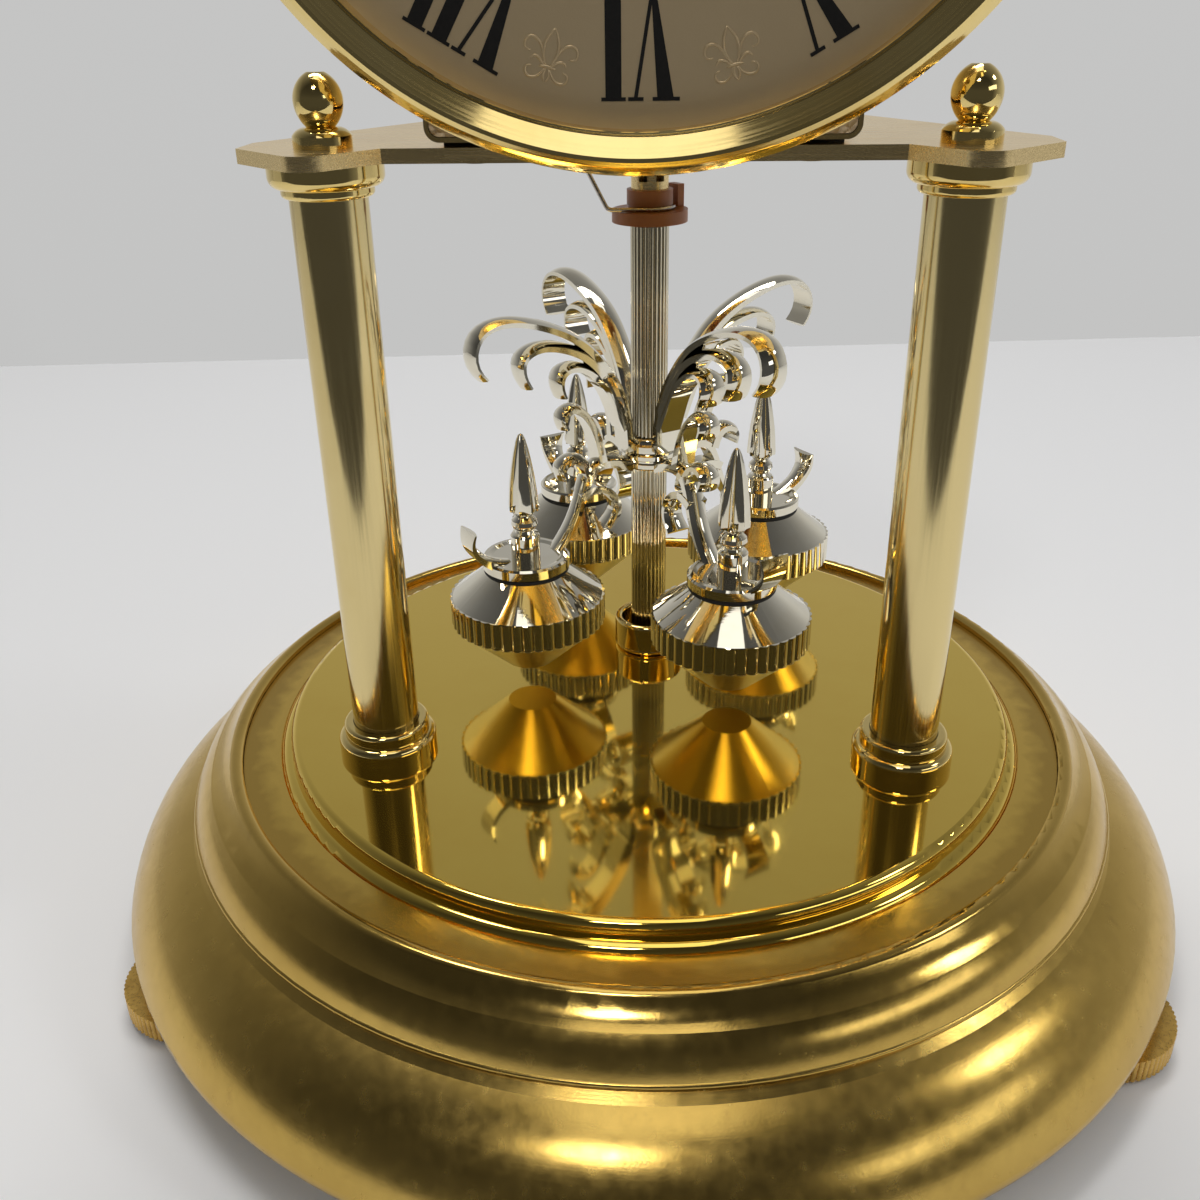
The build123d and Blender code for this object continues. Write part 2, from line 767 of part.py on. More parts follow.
set_knob = fluted(knob_r, wheel_tooth_h, wheel_teeth // 3, set_rear - knob_t, set_rear)
set_knob -= disc(set_shaft_r + running_clear, set_rear - knob_t / 2, set_rear + over)
save("set_knob", dial_frame * Pos(*set_spot) * set_knob)
train_plate = Pos(0, 0, train_plate_low) * extrude(Rectangle(train_plate_w, train_plate_h), train_plate_t)
leg_x = train_plate_w / 2 - train_leg_r
leg_y = train_plate_h / 2 - train_leg_r
for spot in ((leg_x, leg_y), (-leg_x, leg_y), (leg_x, -leg_y), (-leg_x, -leg_y)):
    train_plate += disc(train_leg_r, train_plate_high, -panel_t, spot)
train_plate -= disc(arbor_r + running_clear, train_plate_low - over, train_plate_high + over)
train_plate -= disc(set_shaft_r + running_clear, train_plate_low - over, train_plate_high + over, set_spot)
save("train_plate", dial_frame * train_plate)
motor_y = (arbor_r + free_gap, arbor_r + free_gap + motor_h)
motor = block(-motor_w / 2, motor_w / 2, *motor_y, train_plate_low - motor_d, train_plate_low)
motor += Pos(0, sum(motor_y) / 2, train_plate_low - motor_d) * Rot(0, 90, 0) * Cylinder(motor_coil_r, motor_w)
save("hand_motor", dial_frame * motor)


def hand(length, blade_w, hub_r, bore, low):
    """A spade hand that points up, with a round hub and a short tail."""
    waist = length * hand_waist
    shoulder = length * hand_shoulder
    face = outline(
        (-blade_w / 4, -hand_tail_l),
        (blade_w / 4, -hand_tail_l),
        (blade_w / 2, hub_r),
        (blade_w / 3, waist),
        (blade_w, shoulder, -blade_w / 6),
        (0, length, -blade_w / 8),
        (-blade_w, shoulder, -blade_w / 8),
        (-blade_w / 3, waist, -blade_w / 6),
        (-blade_w / 2, hub_r),
    )
    blade = extrude(face + Circle(hub_r), hand_t)
    return Pos(0, 0, low) * blade - disc(bore, low - over, low + hand_t + over)


hour_hand = hand(hour_hand_l, hour_blade_w, hour_pipe_r + hand_hub_w, hour_pipe_r + running_clear, hour_low)
minute_hand = hand(minute_hand_l, minute_blade_w, arbor_r + hand_hub_w, arbor_r + running_clear, minute_low)
save("hour_hand", dial_frame * Rot(0, 0, -hour_angle) * hour_hand)
save("minute_hand", dial_frame * Rot(0, 0, -minute_angle) * minute_hand)

# Suspension: tube hung from the case floor, with the bush that carries the pendulum's rotor
axis = Pos(0, pendulum_y, 0)
tube_low_z = deck_z + tube_low
tube_top_z = case_floor_z + tube_flange_t
suspension_tube = disc(tube_r, tube_low_z, tube_top_z) + disc(tube_flange_r, case_floor_z, tube_top_z)
suspension_tube -= disc(tube_bore_r, tube_low_z - over, tube_top_z + over)
slot_z = deck_z + tube_slot_low
for turn in tube_slot_turns:
    slot = block(-tube_slot_w / 2, tube_slot_w / 2, -tube_r - over, 0, slot_z, slot_z + tube_slot_h)
    suspension_tube -= Rot(0, 0, turn) * slot
save("suspension_tube", axis * suspension_tube)
bush = disc(tube_bore_r - running_clear, tube_top_z - bush_l, tube_top_z)
bush += disc(bush_flange_r, tube_top_z, tube_top_z + bush_flange_t)
bush -= disc(spindle_r + running_clear, tube_top_z - bush_l - over, rotor_z + over)
save("suspension_bush", axis * bush)
save("magnet_rotor", axis * ring(rotor_r, spindle_r + running_clear, rotor_z, rotor_z + rotor_t))
save("drive_coil", axis * ring(coil_r, coil_bore_r, board_z - coil_h, board_z))
board_half = inner_w / 2 - slip_clear
save("circuit_board", block(-board_half, board_half, *board_y, board_z, board_z + board_t))

# Pendulum lock: a sleeve that slides down over the rod, worked by a bent wire in its groove
sleeve_z = deck_z + sleeve_low
groove_z = sleeve_z + sleeve_flange_t
collar_z = groove_z + sleeve_groove_h
sleeve = disc(sleeve_flange_r, sleeve_z, groove_z) + disc(sleeve_groove_r, groove_z, collar_z)
sleeve += disc(sleeve_collar_r, collar_z, collar_z + sleeve_collar_h)
sleeve -= disc(rod_flute_r + slip_clear, sleeve_z - over, groove_z)
sleeve -= disc(tube_r + running_clear, groove_z - over, collar_z + sleeve_collar_h + over)
tab_x = sleeve_flange_r - sleeve_tab_t
tab_half = sleeve_tab_w / 2
tab_top = groove_z + sleeve_tab_h
tab = block(tab_x, sleeve_flange_r - slip_clear, -tab_half, tab_half, groove_z - over, tab_top)
save("lock_sleeve", axis * (sleeve + Rot(0, 0, sleeve_tab_turn) * tab))
wire_ends = [(0, wire_y, wire_z), (-wire_run, wire_y, wire_z), (-wire_run - wire_lean, wire_y, wire_top_z)]
tail = FilletPolyline(*wire_ends, radius=wire_bend_r)
ring_edge = CenterArc((0, pendulum_y, wire_z), wire_ring_r, 90, -180)
wire_path = Wire([ring_edge, *tail.edges()])
wire_start = Plane(origin=wire_path @ 0, z_dir=wire_path % 0)
save("lock_wire", sweep(wire_start * Circle(wire_r), wire_path))

# Pendulum rod and the spindle that carries it
rod_low_end = deck_z + rod_low
rod_high_end = deck_z + rod_high
pendulum_rod = fluted(rod_flute_r, rod_flute_depth, rod_flutes, rod_low_end, rod_high_end)
save("pendulum_rod", axis * (pendulum_rod - disc(rod_bore_r, rod_low_end - over, rod_high_end + over)))
spindle = disc(rod_bore_r - running_clear, rod_high_end - spindle_plug_l, rod_high_end)
save("pendulum_spindle", axis * (spindle + disc(spindle_r, rod_high_end, rotor_z + rotor_t)))

# Fronds: radius from the rod and height above the mirror plate along each curl
frond_curls = (
    ((5.0, 46.0), (7.0, 57.5), (10.7, 63.7), (15.3, 68.8), (21.0, 72.3), (27.5, 74.6),
     (33.0, 75.2), (37.4, 73.6), (38.9, 70.6), (37.7, 67.2)),
    ((6.6, 54.5), (8.6, 58.2), (11.2, 62.5), (15.4, 66.7), (21.0, 69.2), (25.9, 69.6),
     (29.2, 67.6), (28.8, 63.8)),
    ((6.1, 51.0), (8.0, 55.2), (10.2, 59.4), (13.6, 62.9), (17.6, 64.9), (20.9, 64.2),
     (21.5, 61.4)),
)
# Arms: from the hub to the carrier, with an upper, an outer and an inner scroll and the outer leaf
arm_curls = (
    ((4.8, 42.9), (9.6, 44.5), (13.4, 44.2), (15.8, 41.4), (17.4, 36.8), (20.0, 31.6), (23.0, 27.8)),
    ((11.4, 44.8), (12.6, 50.0), (15.4, 55.0), (18.7, 56.8), (20.8, 55.2), (20.4, 52.8)),
    ((14.6, 42.8), (16.3, 45.7), (19.0, 46.6), (21.3, 45.0), (20.9, 42.5)),
    ((16.8, 37.6), (13.6, 38.6), (10.4, 37.2), (8.9, 34.0), (11.2, 30.6)),
    ((33.6, 27.2), (36.3, 29.5), (38.7, 32.4), (40.3, 35.4), (41.2, 37.0)),
)


def spray(curls, width):
    """All the curls of one frond or arm, at their height in the clock."""
    shape = None
    for points in curls:
        piece = strip([(r, deck_z + z) for r, z in points], width)
        shape = piece if shape is None else shape + piece
    return shape


rod_bore = disc(rod_flute_r + running_clear, hub_z - over, deck_z + rod_high)
hub_top = hub_z + hub_h
frond_crown = disc(crown_r, hub_top, hub_top + crown_h)
arm_spider = disc(hub_r, hub_z, hub_top)
frond = spray(frond_curls, frond_w) - disc(hub_r + arm_w, hub_z - over, hub_top)
arm = spray(arm_curls, arm_w) + disc(carrier_r, carrier_z, carrier_top, (weight_circle_r, 0))
arm -= disc(post_bore_r + slip_clear, carrier_z - over, carrier_top + over, (weight_circle_r, 0))
for angle in weight_angles:
    frond_crown += Rot(0, 0, angle) * frond
    arm_spider += Rot(0, 0, angle) * arm
frond_crown -= rod_bore
arm_spider -= rod_bore
save("frond_crown", axis * frond_crown)
save("arm_spider", axis * arm_spider)

# Weights: knurled double cones, each held to its carrier by a spear screw through a washer
rim_low_z = deck_z + weight_rim_low
rim_high_z = rim_low_z + weight_rim_h
washer_z = carrier_z - washer_t
weight = turned(
    (0, deck_z + weight_low),
    (weight_foot_r, deck_z + weight_low),
    (weight_r - weight_flute_depth, rim_low_z),
    (weight_r - weight_flute_depth, rim_high_z),
    (weight_top_r, washer_z),
    (0, washer_z),
)
weight += fluted(weight_r, weight_flute_depth, weight_flutes, rim_low_z, rim_high_z)
stud_low = carrier_top - spear_stud_l
weight -= disc(post_bore_r + running_clear, stud_low - free_gap, washer_z + over)
bulb_z = carrier_top + spear_post_h
spear_z = bulb_z + spear_bulb_h
spear = turned(
    (0, stud_low),
    (post_bore_r, stud_low),
    (post_bore_r, carrier_top),
    (spear_post_r, carrier_top),
    (spear_post_r, bulb_z),
    (spear_neck_r, bulb_z + spear_bulb_h / 4),
    (spear_bulb_r, bulb_z + spear_bulb_h / 2, -spear_bulb_h / 12),
    (spear_neck_r, spear_z, -spear_bulb_h / 12),
    (spear_r, spear_z + spear_l / 6),
    (spear_tip_r, spear_z + spear_l, -spear_l / 40),
    (0, spear_z + spear_l),
)
washer = ring(washer_r, post_bore_r + slip_clear, washer_z, carrier_z)
washers = []
spears = []
for number, angle in enumerate(weight_angles, 1):
    place = axis * Rot(0, 0, angle) * Pos(weight_circle_r, 0, 0)
    save(f"weight_{number}", place * weight)
    washers.append(place * washer)
    spears.append(place * spear)
save("weight_washers", Compound(washers))
save("weight_finials", Compound(spears))
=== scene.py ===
import math
import bpy
import bmesh
import numpy as np
from mathutils import Matrix, Vector


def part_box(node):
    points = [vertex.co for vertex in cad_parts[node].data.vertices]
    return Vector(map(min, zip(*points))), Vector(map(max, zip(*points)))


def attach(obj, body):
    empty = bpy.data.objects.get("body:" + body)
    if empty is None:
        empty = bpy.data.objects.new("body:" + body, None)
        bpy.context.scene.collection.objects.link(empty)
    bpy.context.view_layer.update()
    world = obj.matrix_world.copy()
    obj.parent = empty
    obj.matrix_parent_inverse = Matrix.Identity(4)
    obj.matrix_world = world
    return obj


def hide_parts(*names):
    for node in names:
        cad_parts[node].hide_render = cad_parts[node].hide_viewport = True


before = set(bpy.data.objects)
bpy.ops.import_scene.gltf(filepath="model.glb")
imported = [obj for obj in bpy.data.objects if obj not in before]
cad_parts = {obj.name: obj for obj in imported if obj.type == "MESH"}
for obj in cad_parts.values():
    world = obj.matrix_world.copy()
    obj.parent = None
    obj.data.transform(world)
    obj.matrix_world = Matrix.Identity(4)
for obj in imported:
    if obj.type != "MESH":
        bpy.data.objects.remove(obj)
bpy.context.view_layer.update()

# The table and the room
# A white table top runs back to a pale wall. Flat panels light it softly from several sides,
# and the side of the room behind the camera is dim, so the brass shows bright and dark bands.
scene = bpy.context.scene
scene.view_settings.view_transform = "Standard"
mm = 0.001

room = bpy.data.worlds.new("room")
scene.world = room
room.use_nodes = True
room_nodes, room_links = room.node_tree.nodes, room.node_tree.links
direction = room_nodes.new("ShaderNodeTexCoord")
parts = room_nodes.new("ShaderNodeSeparateXYZ")
room_links.new(direction.outputs["Generated"], parts.inputs["Vector"])
height = room_nodes.new("ShaderNodeMapRange")
height.inputs["From Min"].default_value = -1.0
room_links.new(parts.outputs["Z"], height.inputs["Value"])
walls = room_nodes.new("ShaderNodeValToRGB")
walls.color_ramp.elements[0].color = (0.20, 0.19, 0.18, 1)
walls.color_ramp.elements[1].color = (0.26, 0.26, 0.26, 1)
for level, shade in (
    (0.36, (0.55, 0.55, 0.545, 1)), (0.58, (0.56, 0.56, 0.555, 1)),
    (0.70, (0.40, 0.40, 0.40, 1)), (0.85, (0.28, 0.28, 0.28, 1)),
):
    walls.color_ramp.elements.new(level).color = shade
room_links.new(height.outputs["Result"], walls.inputs["Fac"])
toward_wall = room_nodes.new("ShaderNodeVectorMath")
toward_wall.operation = "DOT_PRODUCT"
toward_wall.inputs[1].default_value = (0.10, 0.99, 0)
room_links.new(direction.outputs["Generated"], toward_wall.inputs[0])
depth = room_nodes.new("ShaderNodeMapRange")
depth.inputs["From Min"].default_value = -0.45
depth.inputs["From Max"].default_value = 0.80
depth.inputs["To Min"].default_value = 0.12
depth.inputs["To Max"].default_value = 1.0
room_links.new(toward_wall.outputs["Value"], depth.inputs["Value"])
shaded = room_nodes.new("ShaderNodeMix")
shaded.data_type = "RGBA"
shaded.blend_type = "MULTIPLY"
shaded.inputs["Factor"].default_value = 1.0
room_links.new(walls.outputs["Color"], shaded.inputs[6])
room_links.new(depth.outputs["Result"], shaded.inputs[7])
room_links.new(shaded.outputs[2], room_nodes["Background"].inputs["Color"])


def plain_finish(name, tint, metallic, roughness):
    """A finish of one colour, with the nodes, links and shader that a pattern needs."""
    finish = bpy.data.materials.new(name)
    finish.use_nodes = True
    shader = finish.node_tree.nodes["Principled BSDF"]
    shader.inputs["Base Color"].default_value = (*tint, 1)
    shader.inputs["Metallic"].default_value = metallic
    shader.inputs["Roughness"].default_value = roughness
    return finish, finish.node_tree.nodes, finish.node_tree.links, shader


table = bpy.data.meshes.new("table_top")
side, near, far_left, far_right = 1.6, -0.26, 0.254, 0.598
corners = [(-side, near, 0), (side, near, 0), (side, far_right, 0), (-side, far_left, 0)]
table.from_pydata(corners, [], [(0, 1, 2, 3)])
table_top = bpy.data.objects.new("table_top", table)
scene.collection.objects.link(table_top)
table.materials.append(plain_finish("white_laminate", (0.90, 0.91, 0.93), 0.0, 0.55)[0])


def light_panel(name, place, target, width, depth, power, shade):
    """A flat rectangular light that faces a target."""
    lamp = bpy.data.lights.new(name, "AREA")
    lamp.shape = "RECTANGLE"
    lamp.size = width
    lamp.size_y = depth
    lamp.energy = power
    lamp.color = shade
    holder = bpy.data.objects.new(name, lamp)
    holder.location = place
    holder.rotation_euler = (Vector(target) - Vector(place)).to_track_quat("-Z", "Y").to_euler()
    scene.collection.objects.link(holder)


warm, cool = (1.0, 0.98, 0.95), (0.97, 0.98, 1.0)
lamp_target = (0, 0, 0.05)
light_panel("front_lamp", (-0.13, -0.93, 1.20), lamp_target, 0.26, 0.20, 2.8, warm)
light_panel("overhead_panel", (0.03, -0.18, 1.45), (0.03, -0.18, 0), 0.6, 1.0, 2.3, warm)
light_panel("right_lamp", (1.12, -0.09, 1.00), lamp_target, 0.26, 0.22, 1.7, cool)
light_panel("right_window", (1.10, -0.70, 0.52), lamp_target, 0.9, 0.26, 1.3, cool)
light_panel("rear_panel", (-0.15, 0.50, 1.65), lamp_target, 1.2, 0.30, 13.0, warm)

# The camera looks down at the clock from close in front, turned a little to one side
yaw, pitch, roll = math.radians(4.27), math.radians(26.55), math.radians(0.96)
ahead = Vector((0, math.cos(pitch), -math.sin(pitch)))
across = Vector((1, 0, 0))
below = Vector((0, -math.sin(pitch), -math.cos(pitch)))
image_x = across * math.cos(roll) + below * math.sin(roll)
image_y = below * math.cos(roll) - across * math.sin(roll)
view = Matrix((image_x, -image_y, -ahead)).transposed()
turn = Matrix.Rotation(yaw, 3, "Z")
camera = bpy.data.objects.new("camera", bpy.data.cameras.new("camera"))
camera.data.sensor_width = 36
camera.data.lens = 36
camera.data.clip_start = 0.01
camera_spot = Vector((6.85, -213.76, 168.89)) * mm
camera.matrix_world = Matrix.Translation(camera_spot) @ (turn @ view).to_4x4()
scene.collection.objects.link(camera)
scene.camera = camera

# Base shell
# One piece of spun sheet brass with a satin lacquered face, turned over at the rim round a board.
# The lacquer is mottled, and years of handling leave duller brown patches on it.
def node_group(name, entries, exits):
    """An empty shader group with named inputs and outputs."""
    group = bpy.data.node_groups.new(name, "ShaderNodeTree")
    for label, kind, value in entries:
        socket = group.interface.new_socket(name=label, in_out="INPUT", socket_type=kind)
        socket.default_value = value
    for label, kind in exits:
        group.interface.new_socket(name=label, in_out="OUTPUT", socket_type=kind)
    enter, leave = group.nodes.new("NodeGroupInput"), group.nodes.new("NodeGroupOutput")
    return group, group.nodes, group.links, enter, leave


grain, nodes, links, enter, leave = node_group(
    "surface_grain",
    [
        ("Stretch", "NodeSocketVector", (1, 1, 1)),
        ("Scale", "NodeSocketFloat", 900),
        ("Detail", "NodeSocketFloat", 3),
    ],
    [("Value", "NodeSocketFloat")],
)
spot = nodes.new("ShaderNodeTexCoord")
stretched = nodes.new("ShaderNodeVectorMath")
stretched.operation = "MULTIPLY"
links.new(spot.outputs["Object"], stretched.inputs[0])
links.new(enter.outputs["Stretch"], stretched.inputs[1])
speckle = nodes.new("ShaderNodeTexNoise")
links.new(stretched.outputs["Vector"], speckle.inputs["Vector"])
links.new(enter.outputs["Scale"], speckle.inputs["Scale"])
links.new(enter.outputs["Detail"], speckle.inputs["Detail"])
links.new(speckle.outputs["Fac"], leave.inputs["Value"])

patina, nodes, links, enter, leave = node_group(
    "patina_mask",
    [
        ("Scale", "NodeSocketFloat", 30),
        ("Low", "NodeSocketFloat", 0.45),
        ("High", "NodeSocketFloat", 0.75),
    ],
    [("Mask", "NodeSocketFloat")],
)
spot = nodes.new("ShaderNodeTexCoord")
cloud = nodes.new("ShaderNodeTexNoise")
cloud.inputs["Detail"].default_value = 7
cloud.inputs["Roughness"].default_value = 0.62
limits = nodes.new("ShaderNodeMapRange")
links.new(spot.outputs["Object"], cloud.inputs["Vector"])
links.new(enter.outputs["Scale"], cloud.inputs["Scale"])
links.new(cloud.outputs["Fac"], limits.inputs["Value"])
links.new(enter.outputs["Low"], limits.inputs["From Min"])
links.new(enter.outputs["High"], limits.inputs["From Max"])
links.new(limits.outputs["Result"], leave.inputs["Mask"])

rings, nodes, links, enter, leave = node_group(
    "turning_marks",
    [
        ("Centre", "NodeSocketVector", (0, 0, 0)),
        ("Plane", "NodeSocketVector", (1, 1, 0)),
        ("Rings", "NodeSocketFloat", 1500),
    ],
    [("Height", "NodeSocketFloat")],
)
spot = nodes.new("ShaderNodeTexCoord")
offset = nodes.new("ShaderNodeVectorMath")
offset.operation = "SUBTRACT"
links.new(spot.outputs["Object"], offset.inputs[0])
links.new(enter.outputs["Centre"], offset.inputs[1])
flat = nodes.new("ShaderNodeVectorMath")
flat.operation = "MULTIPLY"
links.new(enter.outputs["Plane"], flat.inputs[1])
links.new(offset.outputs["Vector"], flat.inputs[0])
radius = nodes.new("ShaderNodeVectorMath")
radius.operation = "LENGTH"
links.new(flat.outputs["Vector"], radius.inputs[0])
grooves = nodes.new("ShaderNodeTexNoise")
grooves.noise_dimensions = "1D"
links.new(radius.outputs["Value"], grooves.inputs["W"])
links.new(enter.outputs["Rings"], grooves.inputs["Scale"])
links.new(grooves.outputs["Fac"], leave.inputs["Height"])


def add_group(nodes, group, **values):
    """A shader group placed in a finish with its own values."""
    node = nodes.new("ShaderNodeGroup")
    node.node_tree = group
    for label, value in values.items():
        node.inputs[label].default_value = value
    return node


def mixed(nodes, links, mask, first, second):
    """A colour that goes from the first to the second where the mask is white."""
    blend = nodes.new("ShaderNodeMix")
    blend.data_type = "RGBA"
    blend.inputs[6].default_value = (*first, 1)
    blend.inputs[7].default_value = (*second, 1)
    links.new(mask, blend.inputs["Factor"])
    return blend.outputs[2]


def spread(nodes, links, value, low, high, low_out, high_out):
    """A value moved from one span to another, held inside it."""
    span = nodes.new("ShaderNodeMapRange")
    for label, number in zip(("From Min", "From Max", "To Min", "To Max"), (low, high, low_out, high_out)):
        span.inputs[label].default_value = number
    links.new(value, span.inputs["Value"])
    return span.outputs["Result"]


def raise_grain(nodes, links, shader, height, distance):
    """A relief that follows a pattern, as deep as the distance."""
    bump = nodes.new("ShaderNodeBump")
    bump.inputs["Distance"].default_value = distance
    links.new(height, bump.inputs["Height"])
    links.new(bump.outputs["Normal"], shader.inputs["Normal"])


def dress(finish, *names):
    """Gives the named pieces of the frame a finish."""
    for name in names:
        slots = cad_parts[name].data.materials
        slots.clear()
        slots.append(finish)


spun_brass, nodes, links, shader = plain_finish("spun_satin_brass", (0.68, 0.435, 0.115), 1.0, 0.22)
clouds = add_group(nodes, patina, Scale=22, Low=0.40, High=0.78)
tone = mixed(nodes, links, clouds.outputs["Mask"], (0.70, 0.475, 0.125), (0.54, 0.350, 0.080))
freckles = add_group(nodes, patina, Scale=260, Low=0.60, High=0.80)
spotted = nodes.new("ShaderNodeMix")
spotted.data_type = "RGBA"
spotted.inputs[7].default_value = (0.40, 0.25, 0.07, 1)
links.new(spread(nodes, links, freckles.outputs["Mask"], 0, 1, 0, 0.45), spotted.inputs["Factor"])
links.new(tone, spotted.inputs[6])
links.new(spotted.outputs[2], shader.inputs["Base Color"])
sheen = add_group(nodes, grain, Scale=420)
place = nodes.new("ShaderNodeTexCoord")
height = nodes.new("ShaderNodeSeparateXYZ")
links.new(place.outputs["Object"], height.inputs["Vector"])
cove_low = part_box("base_bell")[1][2] - 7 * mm
cove_high = cove_low + 4 * mm
worn = nodes.new("ShaderNodeMath")
worn.operation = "MULTIPLY"
links.new(spread(nodes, links, height.outputs["Z"], cove_low, cove_high, 1.0, 0.62), worn.inputs[0])
links.new(spread(nodes, links, sheen.outputs["Value"], 0.3, 0.7, 0.20, 0.28), worn.inputs[1])
links.new(worn.outputs["Value"], shader.inputs["Roughness"])
marks = add_group(nodes, rings, Rings=2600)
skin = add_group(nodes, grain, Scale=2200)
relief = nodes.new("ShaderNodeMath")
relief.operation = "MULTIPLY_ADD"
relief.inputs[1].default_value = 0.5
links.new(marks.outputs["Height"], relief.inputs[0])
links.new(skin.outputs["Value"], relief.inputs[2])
raise_grain(nodes, links, shader, relief.outputs["Value"], 0.006 * mm)
dress(spun_brass, "base_bell")

# Floor board and levelling feet
# A dark fibre board is crimped into the rim. Brass inserts in it take three knurled brass wheels,
# and each wheel turns on a small felt pad.
def colour_by(nodes, links, shader, mask, first, second):
    """A colour that follows a mask."""
    links.new(mixed(nodes, links, mask, first, second), shader.inputs["Base Color"])


fibre, nodes, links, shader = plain_finish("fibre_board", (0.09, 0.065, 0.045), 0.0, 0.8)
strands = add_group(nodes, grain, Stretch=(1, 0.35, 1), Scale=700, Detail=6)
colour_by(nodes, links, shader, strands.outputs["Value"], (0.05, 0.036, 0.025), (0.15, 0.11, 0.075))
raise_grain(nodes, links, shader, strands.outputs["Value"], 0.2 * mm)
dress(fibre, "base_floor")


def gloss_by(nodes, links, shader, pattern, smooth, rough, low=0.3, high=0.7):
    """A roughness that follows a pattern, most of which lies between the low and the high value."""
    links.new(spread(nodes, links, pattern, low, high, smooth, rough), shader.inputs["Roughness"])


def metal_finish(
    name, fresh, aged, rough, stretch=(1, 1, 1), scale=1200, depth=0.01 * mm, patch=40, share=(0.5, 0.8),
):
    """A metal with aged patches, uneven gloss and a fine grain that may run one way."""
    finish, nodes, links, shader = plain_finish(name, fresh, 1.0, rough[0])
    patches = add_group(nodes, patina, Scale=patch, Low=share[0], High=share[1])
    colour_by(nodes, links, shader, patches.outputs["Mask"], fresh, aged)
    fine = add_group(nodes, grain, Stretch=stretch, Scale=scale)
    gloss_by(nodes, links, shader, fine.outputs["Value"], *rough)
    raise_grain(nodes, links, shader, fine.outputs["Value"], depth)
    return finish


foot_brass = metal_finish(
    "knurled_foot_brass", (0.66, 0.42, 0.11), (0.42, 0.24, 0.06), (0.24, 0.36),
    scale=1600, depth=0.02 * mm, patch=180,
)
dress(foot_brass, "foot_nuts", "foot_wheel_1", "foot_wheel_2", "foot_wheel_3")
felt, nodes, links, shader = plain_finish("foot_felt", (0.035, 0.05, 0.035), 0.0, 0.95)
fuzz = add_group(nodes, grain, Scale=3000, Detail=5)
colour_by(nodes, links, shader, fuzz.outputs["Value"], (0.015, 0.024, 0.016), (0.07, 0.09, 0.07))
raise_grain(nodes, links, shader, fuzz.outputs["Value"], 0.3 * mm)
dress(felt, "foot_glide_1", "foot_glide_2", "foot_glide_3")

# Dome tray
# The flat ring between the base's ridge and the mirror plate, where the edge of a glass dome stands.
# Dirt and tarnish collect along its outer edge in a ragged brown border.
tray_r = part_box("dome_tray")[1][0]
ragged_reach, border_in, border_out = 7 * mm, 2.2 * mm, 1.2 * mm
tray_brass, nodes, links, shader = plain_finish("tarnished_tray_brass", (0.70, 0.48, 0.17), 1.0, 0.3)
place = nodes.new("ShaderNodeTexCoord")
flat = nodes.new("ShaderNodeVectorMath")
flat.operation = "MULTIPLY"
flat.inputs[1].default_value = (1, 1, 0)
links.new(place.outputs["Object"], flat.inputs[0])
reach = nodes.new("ShaderNodeVectorMath")
reach.operation = "LENGTH"
links.new(flat.outputs["Vector"], reach.inputs[0])
ragged = add_group(nodes, grain, Scale=240, Detail=8)
shifted = nodes.new("ShaderNodeMath")
shifted.operation = "MULTIPLY_ADD"
shifted.inputs[1].default_value = ragged_reach
links.new(ragged.outputs["Value"], shifted.inputs[0])
links.new(reach.outputs["Value"], shifted.inputs[2])
border = spread(nodes, links, shifted.outputs["Value"], tray_r - border_in, tray_r + border_out, 0, 1)
colour_by(nodes, links, shader, border, (0.80, 0.54, 0.12), (0.50, 0.325, 0.07))
gloss_by(nodes, links, shader, border, 0.18, 0.27, low=0, high=1)
raise_grain(nodes, links, shader, ragged.outputs["Value"], 0.02 * mm)
dress(tray_brass, "dome_tray")

# Mirror plate, packing disc and guide cup
# A pressed brass plate, polished and lacquered until it mirrors the clock, over a plain packing disc.
# The polished cup, on a stud through both, keeps the lower end of the pendulum rod near the centre.
plate_brass, nodes, links, shader = plain_finish("mirror_polished_brass", (0.92, 0.65, 0.14), 1.0, 0.06)
haze = add_group(nodes, patina, Scale=18, Low=0.42, High=0.85)
colour_by(nodes, links, shader, haze.outputs["Mask"], (0.93, 0.67, 0.145), (0.86, 0.58, 0.11))
dust = add_group(nodes, patina, Scale=420, Low=0.66, High=0.74)
gloss_by(nodes, links, shader, dust.outputs["Mask"], 0.06, 0.14, low=0, high=1)
wave = add_group(nodes, grain, Scale=35, Detail=1)
raise_grain(nodes, links, shader, wave.outputs["Value"], 0.03 * mm)
dress(plate_brass, "mirror_plate")
turned_brass = metal_finish(
    "polished_turned_brass", (0.88, 0.68, 0.27), (0.74, 0.52, 0.17), (0.05, 0.10),
    scale=500, depth=0.004 * mm, patch=60,
)
dress(turned_brass, "guide_cup")
dress(fibre, "deck_core")

# Columns
# Two drawn brass tubes in turned collars and caps. Steel tie rods run through them from hexagon nuts
# under the deck up into the egg-shaped finials on the bridge.
drawn_brass = metal_finish(
    "drawn_column_brass", (0.81, 0.655, 0.315), (0.70, 0.535, 0.225), (0.09, 0.17),
    stretch=(1, 1, 0.012), scale=2600, depth=0.006 * mm, patch=25,
)
dress(drawn_brass, "column_left", "column_right")
dress(turned_brass, "column_collar_left", "column_collar_right", "column_cap_left", "column_cap_right")
dress(turned_brass, "finial_left", "finial_right")
rod_steel = metal_finish(
    "drawn_steel", (0.52, 0.51, 0.49), (0.36, 0.34, 0.31), (0.22, 0.36),
    stretch=(1, 1, 0.05), scale=2200, depth=0.01 * mm,
)
dress(rod_steel, "tie_rod_left", "tie_rod_right", "tie_nuts")

